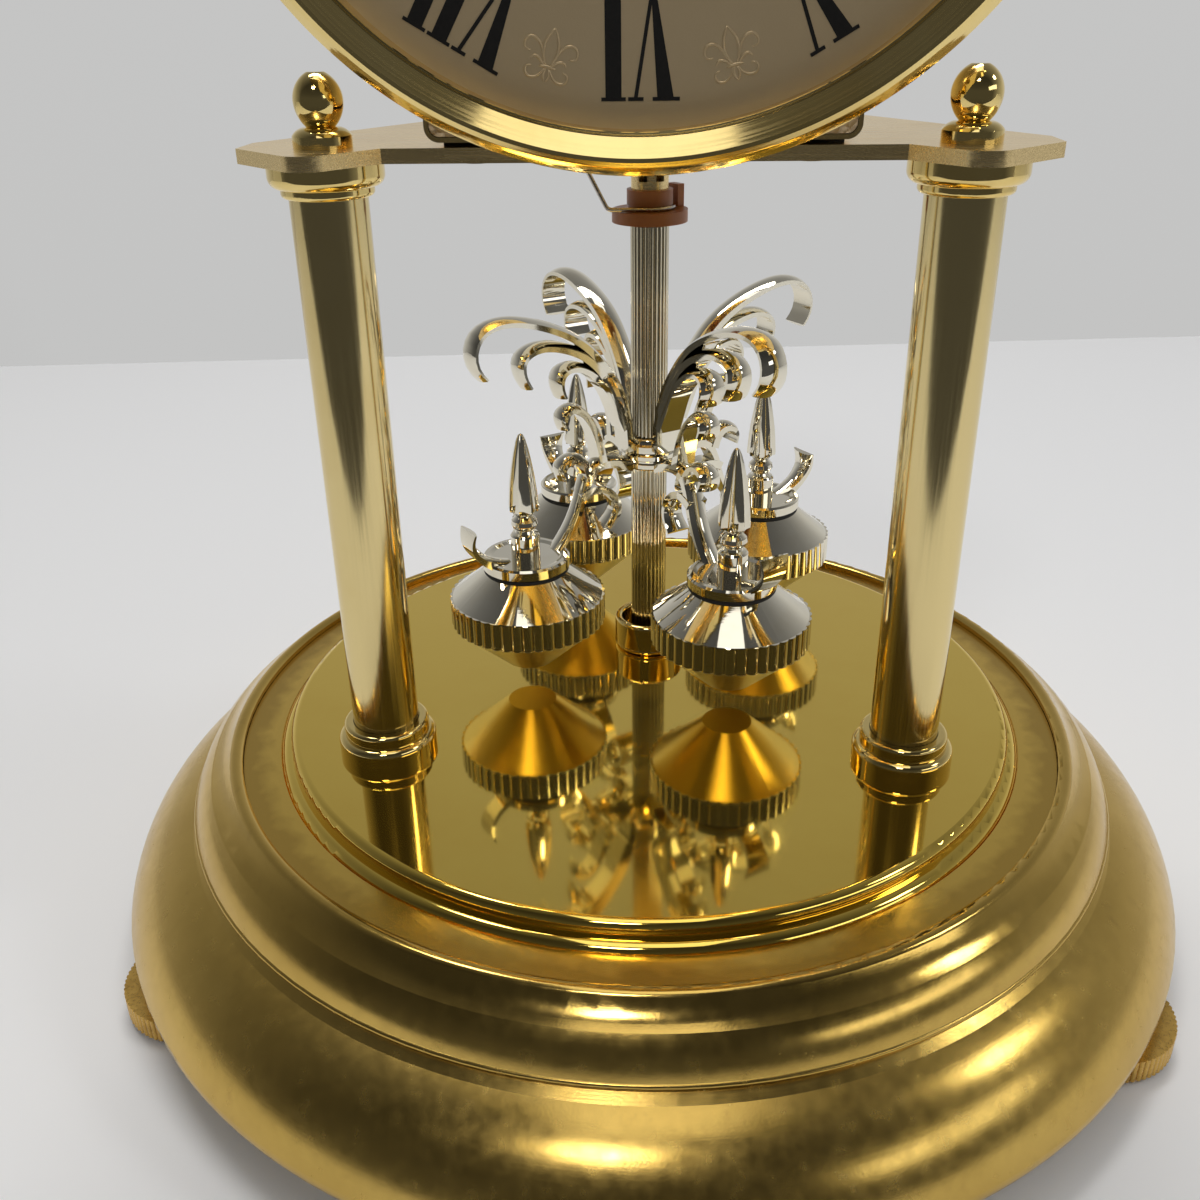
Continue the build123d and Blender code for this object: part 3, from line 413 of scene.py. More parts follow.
# Bridge plate
# A flat brass plate with a pointed end over each column, lapped to a straight satin grain.
# Screws with round heads come up through it and hold the movement on two rubber strips.
bridge_brass = metal_finish(
    "lapped_bridge_brass", (0.94, 0.72, 0.35), (0.80, 0.58, 0.26), (0.20, 0.32),
    stretch=(0.03, 1, 1), scale=2400, depth=0.01 * mm, patch=45,
)
dress(bridge_brass, "bridge_plate")
rubber, nodes, links, shader = plain_finish("black_rubber", (0.018, 0.017, 0.017), 0.0, 0.75)
bloom = add_group(nodes, grain, Scale=900, Detail=4)
colour_by(nodes, links, shader, bloom.outputs["Value"], (0.010, 0.010, 0.010), (0.035, 0.033, 0.032))
raise_grain(nodes, links, shader, bloom.outputs["Value"], 0.08 * mm)
dress(rubber, "case_pads")
screw_brass = metal_finish(
    "brass_screw", (0.74, 0.52, 0.20), (0.45, 0.30, 0.10), (0.16, 0.30),
    scale=1800, depth=0.01 * mm, patch=300,
)
dress(screw_brass, "bridge_screws")

# Movement case
# A gilt moulded box with rounded corners stands on the bridge. Its front is a gold-brown stippled
# panel, and its back a black cover with a battery bay, a sliding door and a setting knob.
case_gilt = metal_finish(
    "gilt_case", (0.80, 0.58, 0.24), (0.62, 0.42, 0.15), (0.14, 0.24),
    scale=900, depth=0.01 * mm, patch=60,
)
dress(case_gilt, "movement_case")
panel_brown, nodes, links, shader = plain_finish("stippled_brown_panel", (0.24, 0.16, 0.08), 0.4, 0.4)
stipple = nodes.new("ShaderNodeTexVoronoi")
stipple.inputs["Scale"].default_value = 900
place = nodes.new("ShaderNodeTexCoord")
links.new(place.outputs["Object"], stipple.inputs["Vector"])
colour_by(nodes, links, shader, stipple.outputs["Distance"], (0.86, 0.67, 0.42), (0.52, 0.37, 0.21))
raise_grain(nodes, links, shader, stipple.outputs["Distance"], 0.4 * mm)
dress(panel_brown, "case_front_panel")
black_plastic, nodes, links, shader = plain_finish("black_moulded_plastic", (0.022, 0.022, 0.023), 0.0, 0.45)
spark = add_group(nodes, grain, Scale=2600, Detail=2)
rubbed = add_group(nodes, patina, Scale=60, Low=0.5, High=0.85)
colour_by(nodes, links, shader, rubbed.outputs["Mask"], (0.016, 0.016, 0.017), (0.045, 0.044, 0.043))
gloss_by(nodes, links, shader, spark.outputs["Value"], 0.36, 0.56)
raise_grain(nodes, links, shader, spark.outputs["Value"], 0.12 * mm)
dress(black_plastic, "rear_cover", "set_knob")


def mesh_piece(name, spots, faces, finish, smooth=True):
    """A closed mesh from points in millimetres, with its faces turned outwards."""
    body = bpy.data.meshes.new(name)
    body.from_pydata([tuple(c * mm for c in spot) for spot in spots], [], faces)
    shell = bmesh.new()
    shell.from_mesh(body)
    bmesh.ops.remove_doubles(shell, verts=shell.verts, dist=1e-7)
    bmesh.ops.recalc_face_normals(shell, faces=shell.faces)
    shell.to_mesh(body)
    shell.free()
    body.polygons.foreach_set("use_smooth", [smooth] * len(body.polygons))
    body.materials.append(finish)
    piece = bpy.data.objects.new(name, body)
    scene.collection.objects.link(piece)
    return piece


def prism(rim, low, high):
    """Points and faces of a flat-ended bar along Z over an outline."""
    count = len(rim)
    spots = [(x, y, low) for x, y in rim] + [(x, y, high) for x, y in rim]
    faces = [tuple(range(count)), tuple(range(count, 2 * count))]
    faces += [(k, (k + 1) % count, (k + 1) % count + count, k + count) for k in range(count)]
    return spots, faces


def gathered(*shapes):
    """Several point and face lists as one."""
    spots, faces = [], []
    for more_spots, more_faces in shapes:
        faces += [tuple(k + len(spots) for k in face) for face in more_faces]
        spots += more_spots
    return spots, faces


def slotted_head(head_r, head_h, slot_w, slot_depth):
    """A screw head that looks along +Z, with its slot left open between two half rounds."""
    half_steps, crown_share, crown_h = 24, 0.86, 0.15
    slot_floor = head_h - slot_depth
    turns = [math.pi * k / half_steps for k in range(2 * half_steps)]
    shapes = [prism([(head_r * math.cos(a), head_r * math.sin(a)) for a in turns], 0, slot_floor)]
    edge = math.asin(slot_w / 2 / head_r)
    for side in (0, math.pi):
        sweep = [side + edge + (math.pi - 2 * edge) * k / half_steps for k in range(half_steps + 1)]
        rim = [(head_r * math.cos(a), head_r * math.sin(a)) for a in sweep]
        crown = [(crown_share * x, crown_share * y) for x, y in rim]
        shapes += [prism(rim, slot_floor, head_h - crown_h), prism(crown, slot_floor, head_h)]
    return gathered(*shapes)


def copying_tree(name, *entries):
    """A new tree with the given inputs, and its node that sets copies of a pattern piece on points."""
    tree = bpy.data.node_groups.new(name, "GeometryNodeTree")
    for label, kind in (("Geometry", "Geometry"), *entries, ("Finish", "Material")):
        tree.interface.new_socket(name=label, in_out="INPUT", socket_type="NodeSocket" + kind)
    tree.interface.new_socket(name="Geometry", in_out="OUTPUT", socket_type="NodeSocketGeometry")
    enter = tree.nodes.new("NodeGroupInput")
    repeated = tree.nodes.new("GeometryNodeInstanceOnPoints")
    tree.links.new(enter.outputs["Geometry"], repeated.inputs["Instance"])
    return tree, tree.nodes, tree.links, enter, repeated


def end_tree(nodes, links, enter, copies):
    """Ends a copying tree with the copies as one real mesh in its finish."""
    real = nodes.new("GeometryNodeRealizeInstances")
    links.new(copies, real.inputs["Geometry"])
    dressed = nodes.new("GeometryNodeSetMaterial")
    links.new(real.outputs["Geometry"], dressed.inputs["Geometry"])
    links.new(enter.outputs["Finish"], dressed.inputs["Material"])
    links.new(dressed.outputs["Geometry"], nodes.new("NodeGroupOutput").inputs["Geometry"])


row_copies, nodes, links, enter, repeated = copying_tree(
    "copies_in_rows", ("Columns", "Int"), ("Rows", "Int"), ("Width", "Float"), ("Length", "Float"),
    ("Turn", "Vector"), ("Centre", "Vector"),
)
lattice = nodes.new("GeometryNodeMeshGrid")
links.new(enter.outputs["Width"], lattice.inputs["Size X"])
links.new(enter.outputs["Length"], lattice.inputs["Size Y"])
links.new(enter.outputs["Columns"], lattice.inputs["Vertices X"])
links.new(enter.outputs["Rows"], lattice.inputs["Vertices Y"])
links.new(lattice.outputs["Mesh"], repeated.inputs["Points"])
placed = nodes.new("GeometryNodeTransform")
links.new(repeated.outputs["Instances"], placed.inputs["Geometry"])
links.new(enter.outputs["Turn"], placed.inputs["Rotation"])
links.new(enter.outputs["Centre"], placed.inputs["Translation"])
end_tree(nodes, links, enter, placed.outputs["Geometry"])


def repeat(pattern, tree, **values):
    """Runs a copying tree on a pattern piece and keeps the result as a plain mesh."""
    step = pattern.modifiers.new(tree.name, "NODES")
    step.node_group = tree
    for entry in tree.interface.items_tree:
        if entry.in_out == "INPUT" and entry.name in values:
            step[entry.identifier] = values[entry.name]
    graph = bpy.context.evaluated_depsgraph_get()
    made = bpy.data.meshes.new_from_object(pattern.evaluated_get(graph))
    name, old = pattern.name, pattern.data
    bpy.data.objects.remove(pattern)
    bpy.data.meshes.remove(old)
    made.name = name
    piece = bpy.data.objects.new(name, made)
    scene.collection.objects.link(piece)
    return piece


cover_lo, cover_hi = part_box("cover_screws")
head_r, head_h, slot_w, slot_depth = 2.2, 1.2, 0.6, 0.6
screw_x, screw_z = (cover_lo[0] + cover_hi[0]) / 2, (cover_lo[2] + cover_hi[2]) / 2
screw_span_x = cover_hi[0] - cover_lo[0] - 2 * head_r * mm
screw_span_z = cover_hi[2] - cover_lo[2] - 2 * head_r * mm
screw_head = slotted_head(head_r, head_h, slot_w, slot_depth)
cover_screws = repeat(
    mesh_piece("cover_screw_heads", *screw_head, rod_steel, smooth=False), row_copies,
    Columns=2, Rows=2, Width=screw_span_x, Length=screw_span_z, Turn=(math.radians(-90), 0, 0),
    Centre=(screw_x, cover_hi[1] - head_h * mm, screw_z), Finish=rod_steel,
)
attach(cover_screws, "stand")
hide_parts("cover_screws")

# Battery door
# A flat slide moulded in the same black plastic as the rear cover, which holds it in two rails over
# the battery bay. A row of raised ribs gives a thumb the grip to push it sideways.
dress(black_plastic, "battery_door")
door_lo, door_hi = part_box("battery_door")
rib_count, rib_w, rib_h, rib_l = 9, 0.9, 0.5, 11.0
grip_w, grip_inset = 16 * mm, 14 * mm
rib_rim = [(-rib_w / 2, 0), (-rib_w / 3, rib_h), (rib_w / 3, rib_h), (rib_w / 2, 0)]
rib = prism(rib_rim, -rib_l / 2, rib_l / 2)
door_ribs = repeat(
    mesh_piece("door_grip_ribs", *rib, black_plastic, smooth=False), row_copies,
    Columns=rib_count, Rows=1, Width=grip_w, Length=0.0, Turn=(0, 0, 0),
    Centre=(door_lo[0] + grip_inset, door_hi[1], (door_lo[2] + door_hi[2]) / 2), Finish=black_plastic,
)
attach(door_ribs, "door")

# Works inside the case
# A moulded train plate carries the hand motor and the motion wheels. The circuit board on two ledges
# holds the drive coil, over the ring magnet that turns with the pendulum.
gear_plastic, nodes, links, shader = plain_finish("white_gear_plastic", (0.74, 0.72, 0.66), 0.0, 0.4)
flow = add_group(nodes, patina, Scale=120, Low=0.35, High=0.8)
colour_by(nodes, links, shader, flow.outputs["Mask"], (0.78, 0.76, 0.70), (0.62, 0.58, 0.50))
raise_grain(nodes, links, shader, flow.outputs["Mask"], 0.04 * mm)
dress(gear_plastic, "train_plate", "hour_wheel", "minute_wheel", "hand_motor", "suspension_bush")
board_green, nodes, links, shader = plain_finish("green_circuit_board", (0.02, 0.12, 0.05), 0.0, 0.35)
weave = nodes.new("ShaderNodeTexChecker")
weave.inputs["Scale"].default_value = 1800
weave.inputs["Color1"].default_value = (0.018, 0.11, 0.045, 1)
weave.inputs["Color2"].default_value = (0.024, 0.14, 0.06, 1)
place = nodes.new("ShaderNodeTexCoord")
links.new(place.outputs["Object"], weave.inputs["Vector"])
links.new(weave.outputs["Color"], shader.inputs["Base Color"])
raise_grain(nodes, links, shader, weave.outputs["Fac"], 0.03 * mm)
dress(board_green, "circuit_board")
winding = metal_finish(
    "enamelled_copper", (0.72, 0.27, 0.10), (0.50, 0.16, 0.05), (0.22, 0.34),
    stretch=(0.1, 0.1, 6), scale=1400, depth=0.1 * mm,
)
dress(winding, "drive_coil")
magnet_grey = metal_finish(
    "sintered_magnet", (0.20, 0.20, 0.21), (0.12, 0.12, 0.12), (0.42, 0.60),
    scale=2400, depth=0.04 * mm,
)
dress(magnet_grey, "magnet_rotor")

# Dial
# A champagne plate with a fine sand-blasted grain. The Roman numerals are printed in black with
# their feet to the centre, and a small lily ornament stands in low relief at each half hour.
dial_lo, dial_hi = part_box("dial")
dial_x = (dial_lo[0] + dial_hi[0]) / 2 / mm
dial_z = (dial_lo[2] + dial_hi[2]) / 2 / mm
dial_front = dial_lo[1] / mm
champagne, nodes, links, shader = plain_finish("champagne_dial", (0.70, 0.55, 0.335), 0.55, 0.42)
shade = add_group(nodes, patina, Scale=14, Low=0.35, High=0.8)
colour_by(nodes, links, shader, shade.outputs["Mask"], (0.77, 0.605, 0.37), (0.71, 0.55, 0.325))
sand = add_group(nodes, grain, Scale=3800, Detail=2)
gloss_by(nodes, links, shader, sand.outputs["Value"], 0.38, 0.48)
raise_grain(nodes, links, shader, sand.outputs["Value"], 0.02 * mm)
dress(champagne, "dial")
print_black, nodes, links, shader = plain_finish("printed_black", (0.012, 0.011, 0.010), 0.0, 0.35)
ink = add_group(nodes, grain, Scale=2400)
colour_by(nodes, links, shader, ink.outputs["Value"], (0.008, 0.008, 0.008), (0.020, 0.018, 0.016))
gloss_by(nodes, links, shader, ink.outputs["Value"], 0.28, 0.45)
raise_grain(nodes, links, shader, ink.outputs["Value"], 0.01 * mm)

numeral_h, foot_r, serif_h = 14.5, 39.8, 0.5
ink_t, ink_step = 0.08, 0.004
strokes = {
    "I": (3.5, [
        [(0.6, 0), (2.9, 0), (2.9, numeral_h), (0.6, numeral_h)],
        [(0, 0), (3.5, 0), (3.5, serif_h), (0, serif_h)],
        [(0, numeral_h - serif_h), (3.5, numeral_h - serif_h), (3.5, numeral_h), (0, numeral_h)],
    ]),
    "V": (7.4, [
        [(3.55, 0), (4.2, 0), (3.2, numeral_h), (0.8, numeral_h)],
        [(3.7, 0), (4.2, 0), (6.65, numeral_h), (6.1, numeral_h)],
        [(0, numeral_h - serif_h), (3.9, numeral_h - serif_h), (3.9, numeral_h), (0, numeral_h)],
        [(5.2, numeral_h - serif_h), (7.4, numeral_h - serif_h), (7.4, numeral_h), (5.2, numeral_h)],
    ]),
    "X": (7.4, [
        [(4.5, 0), (7.0, 0), (2.9, numeral_h), (0.4, numeral_h)],
        [(0.8, 0), (1.35, 0), (6.5, numeral_h), (5.95, numeral_h)],
        [(0, 0), (2.3, 0), (2.3, serif_h), (0, serif_h)],
        [(3.9, 0), (7.4, 0), (7.4, serif_h), (3.9, serif_h)],
        [(0, numeral_h - serif_h), (3.4, numeral_h - serif_h), (3.4, numeral_h), (0, numeral_h)],
        [(5.1, numeral_h - serif_h), (7.3, numeral_h - serif_h), (7.3, numeral_h), (5.1, numeral_h)],
    ]),
}
letter_gap = 0.35
hours = ("XII", "I", "II", "III", "IIII", "V", "VI", "VII", "VIII", "IX", "X", "XI")
shapes = []
for hour, letters in enumerate(hours):
    angle = math.radians(30 * hour)
    total = sum(strokes[letter][0] for letter in letters) + letter_gap * (len(letters) - 1)
    left = -total / 2
    for letter in letters:
        for layer, stroke in enumerate(strokes[letter][1]):
            rim = []
            for u, v in stroke:
                along, out = left + u, foot_r + v
                rim.append((
                    along * math.cos(angle) + out * math.sin(angle),
                    out * math.cos(angle) - along * math.sin(angle),
                ))
            spots, faces = prism(rim, 0, ink_t + ink_step * layer)
            shapes.append(([(dial_x + x, dial_front - z, dial_z + y) for x, y, z in spots], faces))
        left += strokes[letter][0] + letter_gap
numerals = mesh_piece("dial_numerals", *gathered(*shapes), print_black, smooth=False)
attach(numerals, "stand")

turned_copies, nodes, links, enter, repeated = copying_tree(
    "copies_round_axis", ("Count", "Int"), ("Start", "Float"), ("Axis", "Vector"), ("Centre", "Vector"),
)
seats = nodes.new("GeometryNodePoints")
links.new(enter.outputs["Count"], seats.inputs["Count"])
links.new(enter.outputs["Centre"], seats.inputs["Position"])
share = nodes.new("ShaderNodeMath")
share.operation = "DIVIDE"
share.inputs[0].default_value = 2 * math.pi
links.new(enter.outputs["Count"], share.inputs[1])
angle_of = nodes.new("ShaderNodeMath")
angle_of.operation = "MULTIPLY_ADD"
links.new(nodes.new("GeometryNodeInputIndex").outputs["Index"], angle_of.inputs[0])
links.new(share.outputs["Value"], angle_of.inputs[1])
links.new(enter.outputs["Start"], angle_of.inputs[2])
turning = nodes.new("ShaderNodeVectorMath")
turning.operation = "SCALE"
links.new(enter.outputs["Axis"], turning.inputs[0])
links.new(angle_of.outputs["Value"], turning.inputs["Scale"])
links.new(seats.outputs["Points"], repeated.inputs["Points"])
links.new(turning.outputs["Vector"], repeated.inputs["Rotation"])
end_tree(nodes, links, enter, repeated.outputs["Instances"])


def smooth_line(points, count):
    """Evenly spaced points, and the way the line runs there, on a smooth curve through the given points."""
    knots = np.array(points, float)
    gaps = np.linalg.norm(np.diff(knots, axis=0), axis=1)
    at = np.concatenate(([0], np.cumsum(gaps)))
    size = len(knots)
    rule, aim = np.eye(size), np.zeros_like(knots)
    for k in range(1, size - 1):
        rule[k, k - 1:k + 2] = gaps[k - 1], 2 * (gaps[k - 1] + gaps[k]), gaps[k]
        aim[k] = 6 * ((knots[k + 1] - knots[k]) / gaps[k] - (knots[k] - knots[k - 1]) / gaps[k - 1])
    bend = np.linalg.solve(rule, aim)
    line = []
    for s in np.linspace(0, at[-1], 40 * count):
        k = min(np.searchsorted(at, s, side="right") - 1, size - 2)
        a, b, h = at[k + 1] - s, s - at[k], gaps[k]
        line.append(
            (bend[k] * a ** 3 + bend[k + 1] * b ** 3) / (6 * h)
            + (knots[k] / h - bend[k] * h / 6) * a + (knots[k + 1] / h - bend[k + 1] * h / 6) * b
        )
    line = np.array(line)
    run = np.concatenate(([0], np.cumsum(np.linalg.norm(np.diff(line, axis=0), axis=1))))
    even = np.linspace(0, run[-1], count)
    spots = np.stack([np.interp(even, run, line[:, k]) for k in range(line.shape[1])], axis=1)
    ways = np.gradient(spots, axis=0)
    return spots, ways / np.linalg.norm(ways, axis=1)[:, None]


def ridge(points, width, height, count=16):
    """A low rounded ridge along a line on the dial: across, outwards from the middle, and forward."""
    spots, ways = smooth_line(points, count)
    section = ((-0.5, 0), (-0.3, 0.75), (0, 1), (0.3, 0.75), (0.5, 0))
    tip, start = 0.35, 0.08
    shape = []
    for k, ((x, y), (dx, dy)) in enumerate(zip(spots, ways)):
        taper = tip + (1 - tip) * math.sin(math.pi * (start + (1 - 2 * start) * k / (count - 1)))
        w, t = width * taper, height * taper
        shape += [(x - dy * s * w, y + dx * s * w, h * t) for s, h in section]
    span = len(section)
    faces = [tuple(range(span)), tuple(range((count - 1) * span, count * span))]
    for k in range(count - 1):
        for j in range(span):
            a, b = k * span + j, k * span + (j + 1) % span
            faces.append((a, b, b + span, a + span))
    return shape, faces


lily_r, lily_w, lily_h, lily_sunk = 50.0, 0.42, 0.16, 0.01
lily_lines = [
    [(0, 3.7), (0.75, 2.4), (1.05, 1.0), (0.75, -0.4), (0.25, -1.3)],
    [(0.55, -1.1), (1.1, 0.4), (2.0, 1.7), (3.1, 2.0), (3.8, 1.3), (3.6, 0.3), (2.8, 0.2)],
    [(0.45, -1.5), (1.3, -0.6), (2.2, -0.4), (2.6, -0.9)],
    [(0.3, -1.7), (0.9, -2.6), (1.9, -3.2), (2.9, -2.9), (3.0, -2.0), (2.3, -1.7)],
    [(0.15, -1.7), (0.4, -2.6), (0.0, -3.5)],
]
band_line, band_w = [(-1.2, -1.5), (0, -1.4), (1.2, -1.5)], 0.5
shapes = [ridge(band_line, band_w, lily_h, count=8)]
for line in lily_lines:
    for side in (1, -1):
        shapes.append(ridge([(side * x, y) for x, y in line], lily_w, lily_h))
spots, faces = gathered(*shapes)
lily_spots = [(x, -z + lily_sunk, -(lily_r - y)) for x, y, z in spots]
lilies = repeat(
    mesh_piece("dial_lilies", lily_spots, faces, champagne), turned_copies,
    Count=12, Start=math.radians(15), Axis=(0, 1, 0),
    Centre=(dial_x * mm, dial_front * mm, dial_z * mm), Finish=champagne,
)
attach(lilies, "stand")

# Bezel and hands
# The bezel is turned brass, polished over fine tool marks: a sloped outer flange, a flat band, a deep
# slope down to the dial and a thin bead round it. The spade hands are stamped and painted black.
bezel_brass, nodes, links, shader = plain_finish("polished_bezel_brass", (0.90, 0.70, 0.29), 1.0, 0.1)
film = add_group(nodes, patina, Scale=35, Low=0.45, High=0.80)
colour_by(nodes, links, shader, film.outputs["Mask"], (0.90, 0.71, 0.30), (0.78, 0.56, 0.20))
tool_marks = add_group(nodes, rings, Centre=(dial_x * mm, 0, dial_z * mm), Plane=(1, 0, 1), Rings=2400)
gloss_by(nodes, links, shader, tool_marks.outputs["Height"], 0.07, 0.16)
raise_grain(nodes, links, shader, tool_marks.outputs["Height"], 0.012 * mm)


def sharpen(piece, limit=18):
    """Keeps the ridges of a smooth piece crisp."""
    piece.data.set_sharp_from_angle(angle=math.radians(limit))


def turned_shape(profile, count=64, wave=None):
    """Points and faces turned about Z from radii and heights. A wave scales the radius round the turn."""
    shape = []
    for r, z in profile:
        for k in range(count):
            a = 2 * math.pi * k / count
            reach = r * (wave(a, z) if wave else 1)
            shape.append((reach * math.cos(a), reach * math.sin(a), z))
    faces = [tuple(range(count)), tuple(range((len(profile) - 1) * count, len(profile) * count))]
    for j in range(len(profile) - 1):
        for k in range(count):
            a, b = j * count + k, j * count + (k + 1) % count
            faces.append((a, b, b + count, a + count))
    return shape, faces


def tube_shape(profile, count=64):
    """Points and faces of a closed ring turned about Z."""
    shape, faces = turned_shape(profile, count)
    faces = faces[2:]
    last = (len(profile) - 1) * count
    faces += [(last + k, last + (k + 1) % count, (k + 1) % count, k) for k in range(count)]
    return shape, faces


bezel_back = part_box("bezel")[1][1] / mm
inner_r, seat_r, outer_r = 58.1, 61.2, 64.0
seat_z, skirt_z, crest_z = 1.0, 5.6, 7.6
bead = [(inner_r, 4.8), (58.2, 5.05), (58.45, 5.15), (58.65, 5.05)]
slope_and_band = [(58.8, 5.1), (61.4, crest_z), (62.0, crest_z)]
flange = [(62.7, 7.15), (63.5, 6.3), (outer_r, skirt_z)]
back = [(outer_r, 0), (seat_r, 0), (seat_r, seat_z), (inner_r, seat_z)]
ring, faces = tube_shape(bead + slope_and_band + flange + back, count=256)
ring = [(dial_x + x, bezel_back - z, dial_z + y) for x, y, z in ring]
bezel = mesh_piece("stepped_bezel", ring, faces, bezel_brass)
sharpen(bezel, limit=12)
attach(bezel, "stand")
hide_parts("bezel")
hand_black, nodes, links, shader = plain_finish("black_hand_paint", (0.012, 0.012, 0.012), 0.0, 0.3)
coat = add_group(nodes, grain, Scale=1400)
colour_by(nodes, links, shader, coat.outputs["Value"], (0.008, 0.008, 0.008), (0.022, 0.021, 0.020))
gloss_by(nodes, links, shader, coat.outputs["Value"], 0.22, 0.36)
raise_grain(nodes, links, shader, coat.outputs["Value"], 0.02 * mm)
dress(hand_black, "hour_hand", "minute_hand")
dress(screw_brass, "hand_bush", "cannon_pinion")

# Suspension and pendulum lock
# A slotted brass tube hangs from the case floor round the pendulum's steel spindle. The orange
# sleeve slides down it to hold the rod for carrying, worked by a bent steel wire in its groove.
dress(bridge_brass, "suspension_tube")
dress(rod_steel, "pendulum_spindle")
wire_steel = metal_finish(
    "spring_wire", (0.45, 0.42, 0.38), (0.30, 0.27, 0.23), (0.18, 0.30),
    scale=1800, depth=0.01 * mm, patch=250,
)
dress(wire_steel, "lock_wire")
# The sleeve's orange is darkened as painted shade, for the shade it hangs in under the case. A random mottle
# mixes its two darkened tones.
orange_in_painted_shade, nodes, links, shader = plain_finish("orange_plastic", (0.56, 0.20, 0.05), 0.0, 0.38)
shader.inputs["Subsurface Weight"].default_value = 0.15
shader.inputs["Subsurface Scale"].default_value = 0.001
painted_shade_mottle = add_group(nodes, patina, Scale=160, Low=0.35, High=0.8)
colour_by(nodes, links, shader, painted_shade_mottle.outputs["Mask"], (0.36, 0.135, 0.032), (0.27, 0.092, 0.020))
gloss = add_group(nodes, grain, Scale=1500)
gloss_by(nodes, links, shader, gloss.outputs["Value"], 0.30, 0.46)
raise_grain(nodes, links, shader, gloss.outputs["Value"], 0.03 * mm)
dress(orange_in_painted_shade, "lock_sleeve")

# Pendulum rod
# A tube with fine reeds all along it, plated in a pale champagne silver. It hangs on the steel
# spindle, and the hub and the crown sit on it.
fresh_plate, aged_plate = (0.86, 0.81, 0.67), (0.79, 0.71, 0.53)
silver = metal_finish(
    "champagne_silver_plate", fresh_plate, aged_plate, (0.035, 0.075),
    scale=260, depth=0.003 * mm, patch=70, share=(0.45, 0.85),
)
reed_silver = metal_finish(
    "reeded_rod_plate", (0.68, 0.62, 0.47), (0.57, 0.50, 0.34), (0.08, 0.16),
    stretch=(1, 1, 0.02), scale=2600, depth=0.008 * mm, patch=90,
)
dress(reed_silver, "pendulum_rod")

# Frond crown
# A plated moulding on the hub with four palm fronds. Each has three polished half-round strips, one
# under the other, that thin out as they bend outwards and curl under at the tip.
rod_lo, rod_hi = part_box("pendulum_rod")
axis_x, axis_y = (rod_lo[0] + rod_hi[0]) / 2, (rod_lo[1] + rod_hi[1]) / 2
deck_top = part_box("mirror_plate")[1][2] / mm
weight_count = 4
weight_start = math.radians(-55)


def curled_strip(points, width, flare, root_t=2.2, tip_t=0.5, count=40):
    """A half-round strip along a curve of radius and height, thinner and a little wider at the tip."""
    spots, ways = smooth_line(points, count)
    columns = np.linspace(-1, 1, 9)
    crown_h, waist = 0.75, 0.10
    shape, span = [], 2 * len(columns)
    for k, ((r, z), (dr, dz)) in enumerate(zip(spots, ways)):
        u = k / (count - 1)
        half_w = width / 2 * (1 - waist * math.sin(math.pi * u)) + flare / 2 * u ** 3
        thick = root_t + (tip_t - root_t) * u ** 1.4
        face = [(s, thick / 4 + crown_h * (0.5 - s * s)) for s in columns]
        back = [(s, -thick / 2 - crown_h / 2) for s in columns[::-1]]
        shape += [(r - dz * up, s * half_w, z + dr * up + deck_top) for s, up in face + back]
    faces = [tuple(range(span)), tuple(range((count - 1) * span, count * span))]
    for k in range(count - 1):
        for j in range(span):
            a, b = k * span + j, k * span + (j + 1) % span
            faces.append((a, b, b + span, a + span))
    return shape, faces


def round_the_rod(pattern):
    """Copies of a plated pattern piece about the pendulum's axis, one for each weight."""
    return repeat(
        pattern, turned_copies, Count=weight_count, Start=weight_start, Axis=(0, 0, 1),
        Centre=(axis_x, axis_y, 0), Finish=silver,
    )


frond_w, frond_flare = 5.0, 0.8
frond_lines = (
    (
        (5.0, 46.0), (7.0, 57.5), (10.7, 63.7), (15.3, 68.8), (21.0, 72.3), (27.5, 74.6), (33.0, 75.2),
        (37.2, 73.7), (38.9, 70.6), (38.3, 67.0), (36.9, 65.2),
    ),
    (
        (6.6, 54.5), (8.6, 58.2), (11.2, 62.5), (15.4, 66.7), (21.0, 69.2), (25.9, 69.6), (29.0, 67.8),
        (29.2, 64.6), (28.0, 62.2),
    ),
    (
        (6.1, 51.0), (8.0, 55.2), (10.2, 59.4), (13.6, 62.9), (17.6, 64.9), (20.6, 64.2), (21.5, 61.6),
        (20.8, 59.2),
    ),
)
frond_shapes = [curled_strip(line, frond_w, frond_flare) for line in frond_lines]
fronds = round_the_rod(mesh_piece("palm_fronds", *gathered(*frond_shapes), silver))
sharpen(fronds)
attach(fronds, "pendulum")

bore = (rod_hi[0] - rod_lo[0]) / 2 / mm
hub_low, hub_high, crown_high = deck_top + 41.8, deck_top + 45.0, deck_top + 48.0
crown_ring = [
    (bore, hub_high), (5.0, hub_high), (5.2, hub_high + 0.3), (5.2, hub_high + 1.6), (4.7, hub_high + 2.0),
    (4.5, crown_high - 0.3), (4.2, crown_high), (bore, crown_high),
]


def about_rod(shape):
    """A turned shape moved from the origin to the pendulum's axis."""
    spots, faces = shape
    return [(x + axis_x / mm, y + axis_y / mm, z) for x, y, z in spots], faces


crown = mesh_piece("frond_crown_ring", *about_rod(tube_shape(crown_ring)), silver)
sharpen(crown, limit=30)
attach(crown, "pendulum")
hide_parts("frond_crown")

